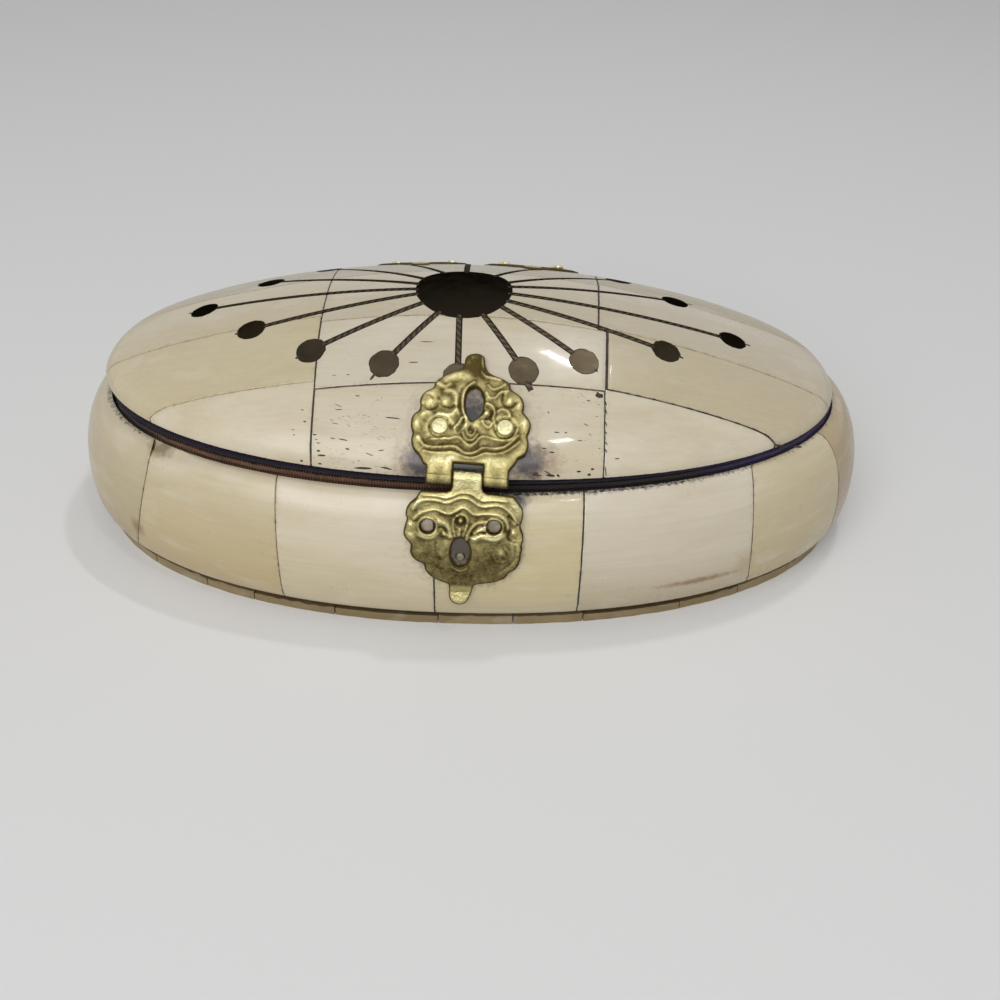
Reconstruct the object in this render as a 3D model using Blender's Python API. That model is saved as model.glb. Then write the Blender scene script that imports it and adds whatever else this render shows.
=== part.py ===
"""Oval keepsake box clad in bone tiles, with a domed lid, a brass sunburst inlay, a latch and two hinges.

Everything is drawn in millimetres, and the finished meshes are scaled to metres. X runs along the box,
the latch is on the -Y side, and the box stands on Z = 0 with its middle at the origin.
"""
import math

import bmesh
import bpy
from mathutils import Matrix, Vector

MM = 0.001

# Outline and side of the body
BODY_LENGTH = 178.0
BODY_DEPTH = 99.0
OUTLINE_POWER = 2.14
WIDEST_HEIGHT = 12.5
SIDE_BONE_TOP = 31.4
SIDE_BONE_BOTTOM = 3.6
SHOULDER_INSET = 8.0
SHOULDER_POWER = 1.92
HEEL_HEIGHT = 3.3
HEEL_INSET = 3.9
HEEL_POWER = 2.45

# Foot under the body
FOOT_INSET = 2.8
FOOT_BONE_HEIGHT = 2.7
FOOT_BONE_WIDTH = 2.4
FOOT_BOARD_HEIGHT = 3.2

# Walls, and the clearance kept between pieces that touch
BONE = 2.0
WOOD_RIM_WIDTH = 6.2
CAVITY_FLOOR = 8.5
CLOTH = 0.6
GAP = 0.3

# Seam between body and lid, from the bottom up
RIM_SETBACK = 0.4
RIM_SHOW = 0.9
RIM_TOP = SIDE_BONE_TOP + GAP + RIM_SHOW
LAP_BOTTOM = RIM_TOP + GAP
LAP_TOP = LAP_BOTTOM + CLOTH
LID_WOOD_EDGE = LAP_TOP + GAP
LID_BONE_LIFT = 0.5
LID_BONE_EDGE = LID_WOOD_EDGE + LID_BONE_LIFT

# Dome of the lid
LID_SETBACK = 0.1
LID_RIM_HEIGHT = 1.9
DOME_BASE = LID_BONE_EDGE + LID_RIM_HEIGHT
DOME_RISE = 18.9
DOME_POWER = 1.5
DOME_SHOULDER = 0.8
LID_HALF_LENGTH = BODY_LENGTH / 2 - SHOULDER_INSET - LID_SETBACK
LID_HALF_DEPTH = BODY_DEPTH / 2 - SHOULDER_INSET - LID_SETBACK

# Joints between the bone tiles
TILE_JOINT = 0.3
LID_CROSS_JOINTS = (-31.0, 28.0)
LID_LONG_JOINTS = (-26.0, -10.0, 10.0, 26.0)
SIDE_JOINT_ANGLES = (8.0, 33.0, 56.0, 76.0, 95.0, 115.0, 141.0, 172.0,
                     222.0, 245.5, 266.5, 284.5, 312.0, 332.5)

# Sunburst inlaid in the lid: bearings run from the front ray, in degrees
INLAY_DEPTH = 1.0
SUN_X = -1.7
SUN_Y = -0.5
DISC_RADIUS = 10.25
RAY_WIDTH = 1.3
DOT_RADIUS = 3.0
RAY_BEARINGS_RIGHT = (30.0, 53.5, 74.5, 88.5, 103.5, 121.5, 141.0)
RAY_BEARINGS_LEFT = (35.0, 60.5, 79.0, 94.0, 108.0, 123.5, 149.0)
SUN_SIDE_MARGIN = 22.4
SUN_FRONT_MARGIN = 16.6
SUN_REAR_MARGIN = 10.4
SUN_SIDE_REACH = LID_HALF_LENGTH - SUN_SIDE_MARGIN
SUN_FRONT_REACH = LID_HALF_DEPTH - SUN_FRONT_MARGIN
SUN_REAR_REACH = LID_HALF_DEPTH - SUN_REAR_MARGIN
SUN_LENS_POWER = 1.4

# Stamped brass leaf, used for the latch and for both hinges: s runs away from the hinge pin
SHEET = 0.6
SEAT_GAP = 0.35
PIN_RADIUS = 0.55
KNUCKLE_BORE = 0.85
KNUCKLE_SWELL = 0.05
KNUCKLE_RADIUS = KNUCKLE_BORE + SHEET + KNUCKLE_SWELL
HINGE_EDGE_WIDTH = 16.0
TONGUE_WIDTH = 5.4
SLOT_WIDTH = TONGUE_WIDTH + 2 * GAP
SLOT_DEPTH = 3.6
LEAF_SHOULDER = 2.8
LEAF_RADIUS = 11.5
LEAF_MIDDLE = 11.6
LEAF_ROOT = 0.3
LEAF_ROOT_POWER = 2.8
SCALLOPS = 6
SCALLOP_DEPTH = 0.5
TAB_WIDTH = 4.4
TAB_REACH = 27.2
KEYHOLE_PLACE = 16.3
KEYHOLE_WIDTH = 3.5
KEYHOLE_LENGTH = 6.4
NAIL_PLACE = 10.8
NAIL_SPREAD = 13.0
LEAF_BENDS = 6

# Hinge pins and where the leaves lie on the box
PIN_STANDOFF = 1.9
PIN_HEIGHT = 36.0
LID_LANDING_SHARE = 0.9
LID_END_SHARE = 0.3
LID_PATH_STEPS = 12
SIDE_LANDING = 24.0
SIDE_PATH_STEPS = 7
LATCH_X = 0.6
LATCH_LEAN = 3.5
HINGE_SPACING = 26.2
FINGER_BEND = 25.0

# Nails and the catch stud
NAIL_SHANK = 0.6
NAIL_HEAD = 1.6
NAIL_HEAD_HEIGHT = 0.6
NAIL_HEAD_TAPER = 0.5
NAIL_SEAT = 0.15
NAIL_BITE = 1.6
STUD_RADIUS = 1.0
STUD_SHOW = 0.6
EMPTY_HOLE_RADIUS = 1.3

# Fineness of the meshes: the dome's layers get plainer towards the inside
BONE_LEVELS = 7
CORE_LEVELS = 6
LINING_LEVELS = 5
HOLLOW_LEVELS = 4
SIDE_LEVELS = 7
WALL_LEVELS = 5
STATIONS = 36
ROUND_SIDES = 10
SMALL_SIDES = 8
DISC_SIDES = 24
CROWN_SHARE = 0.7
ANGLE_STEP = 0.001
WELD = 0.003
DOT_SIDES = 10
SCALLOP_STEPS = 2

PIN_OUT = LID_HALF_DEPTH + PIN_STANDOFF


def new_material(name, colour, roughness, metallic=0.0):
    material = bpy.data.materials.new(name)
    material.use_nodes = True
    shader = material.node_tree.nodes["Principled BSDF"]
    shader.inputs["Base Color"].default_value = (*colour, 1.0)
    shader.inputs["Roughness"].default_value = roughness
    shader.inputs["Metallic"].default_value = metallic
    return material


def new_object(name, bm, material=None):
    """Turn a closed bmesh into an object with its faces pointing out."""
    bm.normal_update()
    bmesh.ops.recalc_face_normals(bm, faces=bm.faces)
    mesh = bpy.data.meshes.new(name)
    bm.to_mesh(mesh)
    bm.free()
    item = bpy.data.objects.new(name, mesh)
    bpy.context.scene.collection.objects.link(item)
    if material:
        mesh.materials.append(material)
    return item


def boolean(target, cutter, operation, keep=False, solver="EXACT"):
    """Cut, join or intersect the target with the cutter, and drop the cutter unless it is kept."""
    modifier = target.modifiers.new(operation.lower(), "BOOLEAN")
    modifier.object = cutter
    modifier.operation = operation
    modifier.solver = solver
    depsgraph = bpy.context.evaluated_depsgraph_get()
    mesh = bpy.data.meshes.new_from_object(target.evaluated_get(depsgraph))
    target.modifiers.clear()
    bm = bmesh.new()
    bm.from_mesh(mesh)
    bmesh.ops.remove_doubles(bm, verts=bm.verts, dist=WELD)
    bmesh.ops.dissolve_degenerate(bm, edges=bm.edges, dist=WELD)
    bm.to_mesh(mesh)
    bm.free()
    old = target.data
    mesh.name = old.name
    target.data = mesh
    bpy.data.meshes.remove(old)
    if not keep:
        bpy.data.objects.remove(cutter)
    return target


def copy_object(source, name):
    item = bpy.data.objects.new(name, source.data.copy())
    bpy.context.scene.collection.objects.link(item)
    return item


def smooth(item, angle=32.0):
    item.data.shade_smooth()
    item.data.set_sharp_from_angle(angle=math.radians(angle))
    return item


# Surfaces of the box

def side_inset(height):
    """How far the bone side lies inside the widest outline at a height."""
    if height >= WIDEST_HEIGHT:
        share = min((height - WIDEST_HEIGHT) / (SIDE_BONE_TOP - WIDEST_HEIGHT), 1.0)
        return SHOULDER_INSET * (1 - (1 - share ** SHOULDER_POWER) ** (1 / SHOULDER_POWER))
    share = min((WIDEST_HEIGHT - height) / (WIDEST_HEIGHT - HEEL_HEIGHT), 1.0)
    return HEEL_INSET * (1 - (1 - share ** HEEL_POWER) ** (1 / HEEL_POWER))


def dome_height(reach, depth=0.0):
    """Height of the dome at a share of the way out to the rim, for a surface a depth below the bone."""
    return DOME_BASE + (DOME_RISE - depth) * max(1 - reach ** DOME_POWER, 0.0) ** DOME_SHOULDER


def oval_point(half_length, half_depth, angle):
    cosine, sine = math.cos(angle), math.sin(angle)
    power = 2 / OUTLINE_POWER
    return (half_length * math.copysign(abs(cosine) ** power, cosine),
            half_depth * math.copysign(abs(sine) ** power, sine))


def side_level(height, depth=0.0):
    """Half sizes and height of one level of the side."""
    inset = side_inset(height) + depth
    return BODY_LENGTH / 2 - inset, BODY_DEPTH / 2 - inset, height


def inset_level(inset, height):
    return BODY_LENGTH / 2 - inset, BODY_DEPTH / 2 - inset, height


def dome_level(reach, depth=0.0):
    """Half sizes and height of one level of the dome."""
    return (LID_HALF_LENGTH - depth) * reach, (LID_HALF_DEPTH - depth) * reach, dome_height(reach, depth)


def lid_rim_level(height, depth=0.0):
    return LID_HALF_LENGTH - depth, LID_HALF_DEPTH - depth, height


def oval_loft(name, levels, material=None, closed=False):
    """Skin oval levels one after the other; the ends are capped, or joined to each other if closed."""
    bm = bmesh.new()
    rings = []
    for half_length, half_depth, height in levels:
        ring = []
        for station in range(STATIONS):
            x, y = oval_point(half_length, half_depth, 2 * math.pi * station / STATIONS)
            ring.append(bm.verts.new((x, y, height)))
        rings.append(ring)
    pairs = list(zip(rings, rings[1:]))
    if closed:
        pairs.append((rings[-1], rings[0]))
    else:
        bm.faces.new(rings[0])
        bm.faces.new(rings[-1])
    for low, high in pairs:
        for station in range(STATIONS):
            after = (station + 1) % STATIONS
            bm.faces.new((low[station], low[after], high[after], high[station]))
    return new_object(name, bm, material)


def dome_reaches(count):
    """Shares of the way out from the crown, closer together near the rim where the dome turns down."""
    return [math.sin(math.pi / 2 * (step - CROWN_SHARE) / (count - CROWN_SHARE))
            for step in range(1, count + 1)]


def dome_shell(name, outer, inner, bottom, outer_levels, inner_levels, material=None):
    """A domed cap between two depths under the bone's surface, down to a flat lower edge."""
    sections = [dome_level(reach, outer) for reach in dome_reaches(outer_levels)]
    sections.append(lid_rim_level(bottom, outer))
    sections.append(lid_rim_level(bottom, inner))
    sections.extend(dome_level(reach, inner) for reach in reversed(dome_reaches(inner_levels)))
    return oval_loft(name, sections, material)


def prism(name, points, low, high, material=None):
    """A closed outline in plan, extruded upwards."""
    bm = bmesh.new()
    bottom = bm.faces.new([bm.verts.new((x, y, low)) for x, y in points])
    raised = bmesh.ops.extrude_face_region(bm, geom=[bottom])
    moved = [item for item in raised["geom"] if isinstance(item, bmesh.types.BMVert)]
    bmesh.ops.translate(bm, vec=(0, 0, high - low), verts=moved)
    return new_object(name, bm, material)


def rod(name, start, end, radius, material=None, sides=ROUND_SIDES, end_radius=None):
    """A straight round bar between two points."""
    start, end = Vector(start), Vector(end)
    axis = end - start
    bm = bmesh.new()
    bmesh.ops.create_cone(bm, cap_ends=True, segments=sides, radius1=radius,
                          radius2=radius if end_radius is None else end_radius, depth=axis.length)
    turn = Vector((0, 0, 1)).rotation_difference(axis.normalized()).to_matrix()
    bmesh.ops.rotate(bm, cent=(0, 0, 0), matrix=turn, verts=bm.verts)
    bmesh.ops.translate(bm, vec=(start + end) / 2, verts=bm.verts)
    return new_object(name, bm, material)


# Sunburst inlay

def ray_reach(bearing):
    """Distance from the disc's middle to a dot's middle: the dots lie on a lens-shaped curve."""
    across = abs(math.sin(bearing)) / SUN_SIDE_REACH
    along = abs(math.cos(bearing)) / (SUN_FRONT_REACH if math.cos(bearing) > 0 else SUN_REAR_REACH)
    return (across ** SUN_LENS_POWER + along ** SUN_LENS_POWER) ** (-1 / SUN_LENS_POWER)


def ray_bearings():
    """Bearings of the rays in order, anticlockwise from the front."""
    right = [math.radians(value) for value in RAY_BEARINGS_RIGHT]
    left = [2 * math.pi - math.radians(value) for value in reversed(RAY_BEARINGS_LEFT)]
    return [0.0] + right + [math.pi] + left


def ray_points(bearing, root, half_width, dot_radius):
    """Outline of one strip and of the round dot at its far end, as seen from above."""
    reach = ray_reach(bearing)
    opening = math.asin(half_width / dot_radius)
    points = [(root, -half_width)]
    for step in range(DOT_SIDES):
        angle = math.pi + opening + (2 * math.pi - 2 * opening) * step / (DOT_SIDES - 1)
        points.append((reach + dot_radius * math.cos(angle), dot_radius * math.sin(angle)))
    points.append((root, half_width))
    return [(SUN_X + far * math.sin(bearing) + wide * math.cos(bearing),
             SUN_Y - far * math.cos(bearing) + wide * math.sin(bearing)) for far, wide in points]


def sunburst_outline(clearance):
    """The rays one after the other, with the disc's rim between them."""
    radius, half_width = DISC_RADIUS + clearance, RAY_WIDTH / 2 + clearance
    spread = math.asin(half_width / radius)
    root = radius * math.cos(spread)
    bearings = ray_bearings()
    outline = []
    for bearing, after in zip(bearings, bearings[1:] + [bearings[0] + 2 * math.pi]):
        outline.extend(ray_points(bearing, root, half_width, DOT_RADIUS + clearance))
        start, end = bearing + spread, after - spread
        steps = max(1, round((end - start) * DISC_SIDES / (2 * math.pi)))
        for step in range(1, steps):
            angle = start + (end - start) * step / steps
            outline.append((SUN_X + radius * math.sin(angle), SUN_Y - radius * math.cos(angle)))
    return outline


def sunburst(name, clearance, depth, rise):
    """The disc, strips and dots as one layer that follows the dome, grown by a clearance."""
    star = prism(name, sunburst_outline(clearance), LID_BONE_EDGE, DOME_BASE + DOME_RISE + BONE)
    layer = dome_shell("layer_cutter", -rise, depth, LID_BONE_EDGE, BONE_LEVELS, BONE_LEVELS)
    return boolean(star, layer, "INTERSECT", solver="MANIFOLD")


# Stamped leaves

def leaf_edge_points():
    """Right-hand scalloped edge of a leaf, from its shoulder up to the tab."""
    steps = SCALLOPS * SCALLOP_STEPS
    start = -math.asin(((LEAF_MIDDLE - LEAF_SHOULDER) / LEAF_RADIUS) ** (LEAF_ROOT_POWER / 2))
    end = math.acos(TAB_WIDTH / 2 / LEAF_RADIUS)
    points = []
    for step in range(steps + 1):
        angle = start + (end - start) * step / steps
        power = 2 / LEAF_ROOT_POWER if angle < 0 else 1.0
        notch = SCALLOP_DEPTH * (1 - abs(math.sin(math.pi * step * SCALLOPS / steps)))
        radius = LEAF_RADIUS - notch + SCALLOP_DEPTH / 2
        points.append((radius * math.cos(angle) ** power,
                       LEAF_MIDDLE + radius * math.copysign(abs(math.sin(angle)) ** power, angle)))
    return points


def tab_points():
    """Right-hand half of the rounded tab at the far end of a leaf."""
    radius = TAB_WIDTH / 2
    centre = TAB_REACH - radius
    return [(radius * math.cos(angle), centre + radius * math.sin(angle))
            for angle in (0.0, math.pi / 6, math.pi / 3)]


def leaf_outline(tongued):
    """Closed outline of a leaf; one has a tongue at its hinge edge, its mate has the slot for it."""
    half_edge, half_slot, half_tongue = HINGE_EDGE_WIDTH / 2, SLOT_WIDTH / 2, TONGUE_WIDTH / 2
    root = -LEAF_ROOT
    if tongued:
        right = [(half_tongue, root), (half_tongue, LEAF_SHOULDER)]
    else:
        right = [(half_slot, SLOT_DEPTH), (half_slot, root), (half_edge, root), (half_edge, LEAF_SHOULDER)]
    right += leaf_edge_points() + tab_points()
    left = [(-u, s) for u, s in reversed(right)]
    return right + [(0.0, TAB_REACH)] + left


def ellipse_points(centre_u, centre_s, half_width, half_length, sides):
    return [(centre_u + half_width * math.cos(2 * math.pi * step / sides),
             centre_s + half_length * math.sin(2 * math.pi * step / sides)) for step in range(sides)]


def leaf_holes(nail_hole):
    holes = [ellipse_points(0.0, KEYHOLE_PLACE, KEYHOLE_WIDTH / 2, KEYHOLE_LENGTH / 2, ROUND_SIDES)]
    for side in (-1, 1):
        holes.append(ellipse_points(side * NAIL_SPREAD / 2, NAIL_PLACE, nail_hole, nail_hole, SMALL_SIDES))
    return holes


def walk(points, distance):
    """Point and heading at a distance along a line of (outward, height) points, past its end if need be."""
    for (out, height), (next_out, next_height) in zip(points, points[1:]):
        length = math.hypot(next_out - out, next_height - height)
        heading = (next_out - out) / length, (next_height - height) / length
        if distance <= length or (next_out, next_height) == points[-1]:
            break
        distance -= length
    return out + heading[0] * distance, height + heading[1] * distance, heading


def lid_leaf_path(x):
    """Inner face of a leaf on the lid at one x: off the knuckle, then along the dome."""
    across = (abs(x) / LID_HALF_LENGTH) ** OUTLINE_POWER
    surface = []
    for step in range(LID_PATH_STEPS + 1):
        reach = LID_LANDING_SHARE - (LID_LANDING_SHARE - LID_END_SHARE) * step / LID_PATH_STEPS
        inner = reach ** OUTLINE_POWER - across
        if inner > 0:
            out = LID_HALF_DEPTH * inner ** (1 / OUTLINE_POWER)
            surface.append((out, dome_height(reach)))
    lifted = []
    for (o1, z1), (o2, z2) in zip(surface, surface[1:]):
        length = math.hypot(o2 - o1, z2 - z1)
        lifted.append((o1 + SEAT_GAP * (z2 - z1) / length, z1 + SEAT_GAP * (o1 - o2) / length))
    first = lifted[0]
    back, up = PIN_OUT - first[0], first[1] - PIN_HEIGHT
    slope = math.atan2(up, back) - math.asin(KNUCKLE_BORE / math.hypot(back, up))
    start = (PIN_OUT + KNUCKLE_BORE * math.sin(slope), PIN_HEIGHT + KNUCKLE_BORE * math.cos(slope))
    return [start] + lifted


def side_leaf_path(x, finger_bend):
    """Inner face of a leaf on the side at one x: off the knuckle, down the bulge, then straight down."""
    surface = []
    for step in range(SIDE_PATH_STEPS + 1):
        height = SIDE_LANDING - (SIDE_LANDING - WIDEST_HEIGHT) * step / SIDE_PATH_STEPS
        half_length, half_depth, _ = side_level(height)
        across = (abs(x) / half_length) ** OUTLINE_POWER
        surface.append((half_depth * (1 - across) ** (1 / OUTLINE_POWER) + SEAT_GAP, height))
    first = surface[0]
    out, down = first[0] - PIN_OUT, PIN_HEIGHT - first[1]
    slope = math.atan2(down, out) + math.asin(KNUCKLE_BORE / math.hypot(out, down))
    start = (PIN_OUT + KNUCKLE_BORE * math.sin(slope), PIN_HEIGHT + KNUCKLE_BORE * math.cos(slope))
    last = surface[-1]
    return [start] + surface + [(last[0] + TAB_REACH * math.sin(finger_bend),
                                 last[1] - TAB_REACH * math.cos(finger_bend))]


def leaf_point(u, s, thickness, place):
    """Bend a point of the flat leaf onto the box."""
    lean = place["lean"]
    x = place["x"] + u * math.cos(lean) + place["along"] * s * math.sin(lean)
    distance = s * math.cos(lean) - place["along"] * u * math.sin(lean)
    if place["on_lid"]:
        out, height, heading = walk(lid_leaf_path(x), distance)
        normal = (heading[1], -heading[0])
    else:
        out, height, heading = walk(side_leaf_path(x, place["bend"]), distance)
        normal = (-heading[1], heading[0])
    out += thickness * normal[0]
    height += thickness * normal[1]
    return Vector((x, place["side"] * out, height)), Vector((0.0, place["side"] * normal[0], normal[1]))


def pin_direction(lean):
    return Vector((math.cos(lean), 0.0, -math.sin(lean)))


def pin_point(place, distance):
    centre = Vector((place["x"], place["side"] * PIN_OUT, PIN_HEIGHT))
    return centre + pin_direction(place["lean"]) * distance


def stamped_leaf(name, place, tongued, nail_hole, material):
    """Cut the leaf out flat, bend it onto the box, and roll its hinge edge round the pin."""
    bm = bmesh.new()
    for loop in [leaf_outline(tongued)] + leaf_holes(nail_hole):
        corners = [bm.verts.new((u, s, 0.0)) for u, s in loop]
        for first, second in zip(corners, corners[1:] + corners[:1]):
            bm.edges.new((first, second))
    bmesh.ops.triangle_fill(bm, edges=bm.edges, use_beauty=True)
    for bend in range(1, LEAF_BENDS):
        bmesh.ops.bisect_plane(bm, geom=bm.verts[:] + bm.edges[:] + bm.faces[:],
                               plane_co=(0, TAB_REACH * bend / LEAF_BENDS, 0), plane_no=(0, 1, 0))
    bmesh.ops.triangulate(bm, faces=bm.faces)
    raised = bmesh.ops.extrude_face_region(bm, geom=bm.faces[:])
    upper = {item for item in raised["geom"] if isinstance(item, bmesh.types.BMVert)}
    for corner in bm.verts:
        thickness = SHEET if corner in upper else 0.0
        corner.co, _ = leaf_point(corner.co.x, corner.co.y, thickness, place)
    leaf = new_object(name, bm, material)
    if tongued:
        spans = [(-TONGUE_WIDTH / 2, TONGUE_WIDTH / 2)]
    else:
        spans = [(-HINGE_EDGE_WIDTH / 2, -SLOT_WIDTH / 2), (SLOT_WIDTH / 2, HINGE_EDGE_WIDTH / 2)]
    for low, high in spans:
        knuckle = rod("knuckle_cutter", pin_point(place, low), pin_point(place, high), KNUCKLE_RADIUS)
        boolean(leaf, knuckle, "UNION")
    bore = rod("bore_cutter", pin_point(place, -HINGE_EDGE_WIDTH), pin_point(place, HINGE_EDGE_WIDTH),
               KNUCKLE_BORE)
    return smooth(boolean(leaf, bore, "DIFFERENCE"))


def leaf_place(x, side, on_lid, lean=0.0, bend=0.0):
    """Where a leaf lies: side is -1 at the front, and the lean turns it clockwise as seen from the front."""
    return {"x": x, "side": side, "on_lid": on_lid, "lean": math.radians(lean),
            "along": 1 if on_lid else -1, "bend": math.radians(bend)}


def nail_line(place, side):
    """Point on the leaf's outer face and outward normal for one of its two nails."""
    return leaf_point(side * NAIL_SPREAD / 2, NAIL_PLACE, SHEET, place)


def nail(name, place, side, material):
    seat, normal = nail_line(place, side)
    under = seat + normal * NAIL_SEAT
    tip = seat - normal * (SHEET + SEAT_GAP + BONE + GAP + NAIL_BITE)
    shank = rod(name, tip, under + normal * NAIL_HEAD_HEIGHT / 2, NAIL_SHANK, material, SMALL_SIDES)
    head = rod("head_cutter", under, under + normal * NAIL_HEAD_HEIGHT, NAIL_HEAD,
               end_radius=NAIL_HEAD - NAIL_HEAD_TAPER)
    return smooth(boolean(shank, head, "UNION"))


def nail_hole_cutter(place, side):
    seat, normal = nail_line(place, side)
    bottom = seat - normal * (SHEET + SEAT_GAP + BONE + GAP + NAIL_BITE + GAP)
    return rod("nail_hole_cutter", bottom, seat, NAIL_SHANK + GAP, sides=SMALL_SIDES)


def stud_line(place):
    """Point on the bone under the latch's keyhole, and its outward normal."""
    return leaf_point(0.0, KEYHOLE_PLACE, -SEAT_GAP, place)


# Pieces of the box

def build_foot(bone, wood):
    foot = [inset_level(FOOT_INSET, 0.0), inset_level(FOOT_INSET, FOOT_BONE_HEIGHT),
            inset_level(FOOT_INSET + FOOT_BONE_WIDTH, FOOT_BONE_HEIGHT),
            inset_level(FOOT_INSET + FOOT_BONE_WIDTH, 0.0)]
    smooth(oval_loft("foot_bone_ring", foot, bone, closed=True))
    board_inset = FOOT_INSET + FOOT_BONE_WIDTH + GAP
    smooth(oval_loft("foot_board", [inset_level(board_inset, 0.0),
                                    inset_level(board_inset, FOOT_BOARD_HEIGHT)], wood))


def side_heights(low, high, count):
    return [low + (high - low) * (1 - math.cos(math.pi * step / count)) / 2 for step in range(count + 1)]


def panel_columns(start, end):
    """Angles of a panel's columns: its two sawn ends, and the box's own stations between them."""
    sawn = []
    for angle, direction in ((start, 1), (end, -1)):
        x, y = oval_point(BODY_LENGTH / 2, BODY_DEPTH / 2, angle)
        near_x, near_y = oval_point(BODY_LENGTH / 2, BODY_DEPTH / 2, angle + ANGLE_STEP)
        speed = math.hypot(near_x - x, near_y - y) / ANGLE_STEP
        sawn.append(angle + direction * TILE_JOINT / 2 / speed)
    pitch = 2 * math.pi / STATIONS
    first, last = math.floor(sawn[0] / pitch) + 1, math.ceil(sawn[1] / pitch) - 1
    return sawn[:1] + [station * pitch for station in range(first, last + 1)] + sawn[1:]


def side_panel(name, start, end, bone):
    """One bone plate of the side, between two upright joints."""
    outer = [side_level(height) for height in side_heights(SIDE_BONE_BOTTOM, SIDE_BONE_TOP, SIDE_LEVELS)]
    inner = [side_level(height, BONE)
             for height in side_heights(SIDE_BONE_BOTTOM, SIDE_BONE_TOP, WALL_LEVELS)]
    section = outer + inner[::-1]
    bm = bmesh.new()
    columns = []
    for angle in panel_columns(start, end):
        column = []
        for half_length, half_depth, height in section:
            x, y = oval_point(half_length, half_depth, angle)
            column.append(bm.verts.new((x, y, height)))
        columns.append(column)
    bm.faces.new(columns[0])
    bm.faces.new(columns[-1])
    for left, right in zip(columns, columns[1:]):
        for corner in range(len(section)):
            above = (corner + 1) % len(section)
            bm.faces.new((left[corner], right[corner], right[above], left[above]))
    return new_object(name, bm, bone)


def build_body_core(wood):
    cavity_inset = SHOULDER_INSET + RIM_SETBACK + WOOD_RIM_WIDTH
    rim_inset = SHOULDER_INSET + RIM_SETBACK
    wall = [side_level(height, BONE + GAP)
            for height in side_heights(FOOT_BOARD_HEIGHT + GAP, SIDE_BONE_TOP, WALL_LEVELS)]
    levels = wall + [inset_level(SHOULDER_INSET + BONE + GAP, SIDE_BONE_TOP + GAP),
                     inset_level(rim_inset, SIDE_BONE_TOP + GAP), inset_level(rim_inset, RIM_TOP),
                     inset_level(cavity_inset, RIM_TOP), inset_level(cavity_inset, CAVITY_FLOOR)]
    return oval_loft("body_core", levels, wood)


def build_body_lining(cloth):
    """Cloth over the floor and wall of the well, lapped over the wooden rim."""
    wall = SHOULDER_INSET + RIM_SETBACK + WOOD_RIM_WIDTH + GAP
    lap = SHOULDER_INSET + RIM_SETBACK
    floor = CAVITY_FLOOR + GAP
    levels = [inset_level(wall, floor), inset_level(wall, LAP_BOTTOM), inset_level(lap, LAP_BOTTOM),
              inset_level(lap, LAP_TOP), inset_level(wall + CLOTH, LAP_TOP),
              inset_level(wall + CLOTH, floor + CLOTH)]
    smooth(oval_loft("body_lining", levels, cloth))


def lid_wall_depth():
    return RIM_SETBACK + WOOD_RIM_WIDTH


def build_lid_core(wood):
    return dome_shell("lid_core", BONE + GAP, lid_wall_depth(), LID_WOOD_EDGE,
                      CORE_LEVELS, LINING_LEVELS, wood)


def build_lid_lining(cloth):
    outer = lid_wall_depth() + GAP
    smooth(dome_shell("lid_lining", outer, outer + CLOTH, LID_WOOD_EDGE, LINING_LEVELS, HOLLOW_LEVELS, cloth))


def build_side_panels(bone):
    """All the plates of the side, counted from the right-hand end round the back to the front."""
    joints = [math.radians(angle) for angle in SIDE_JOINT_ANGLES]
    ends = joints[1:] + [joints[0] + 2 * math.pi]
    return [side_panel("side_panel_%02d" % number, start, end, bone)
            for number, (start, end) in enumerate(zip(joints, ends), start=1)]


def boxes_meet(first, second):
    """Whether the bounding boxes of two objects overlap."""
    for axis in range(3):
        one = [corner[axis] for corner in first.bound_box]
        other = [corner[axis] for corner in second.bound_box]
        if max(one) < min(other) or max(other) < min(one):
            return False
    return True


def build_lid_tiles(shell, pocket, bone):
    """Cut the lid's bone into three columns of planks, and let the sunburst's pocket into them."""
    end_x, end_y = LID_HALF_LENGTH + BONE, LID_HALF_DEPTH + BONE
    columns = (-end_x,) + LID_CROSS_JOINTS + (end_x,)
    rows = (-end_y,) + LID_LONG_JOINTS + (end_y,)
    tiles = []
    for column, (left, right) in enumerate(zip(columns, columns[1:]), start=1):
        for row, (front, rear) in enumerate(zip(rows, rows[1:]), start=1):
            half = TILE_JOINT / 2
            cell = prism("cell_cutter", [(left + half, front + half), (right - half, front + half),
                                         (right - half, rear - half), (left + half, rear - half)],
                         LID_WOOD_EDGE, DOME_BASE + DOME_RISE + BONE)
            tile = copy_object(shell, "lid_tile_%d_%d" % (column, row))
            tile.data.name = tile.name
            boolean(tile, cell, "INTERSECT")
            if boxes_meet(tile, pocket):
                boolean(tile, pocket, "DIFFERENCE", keep=True, solver="MANIFOLD")
            tile.data.materials.clear()
            tile.data.materials.append(bone)
            tiles.append(smooth(tile))
    bpy.data.objects.remove(shell)
    bpy.data.objects.remove(pocket)
    return tiles


def moving_empty(name, location, children):
    """An empty on a joint's axis that carries the pieces which turn about it."""
    empty = bpy.data.objects.new(name, None)
    empty.location = location
    bpy.context.scene.collection.objects.link(empty)
    bpy.context.view_layer.update()
    for child in children:
        child.parent = empty
        child.matrix_parent_inverse = empty.matrix_world.inverted()
    return empty


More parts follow.
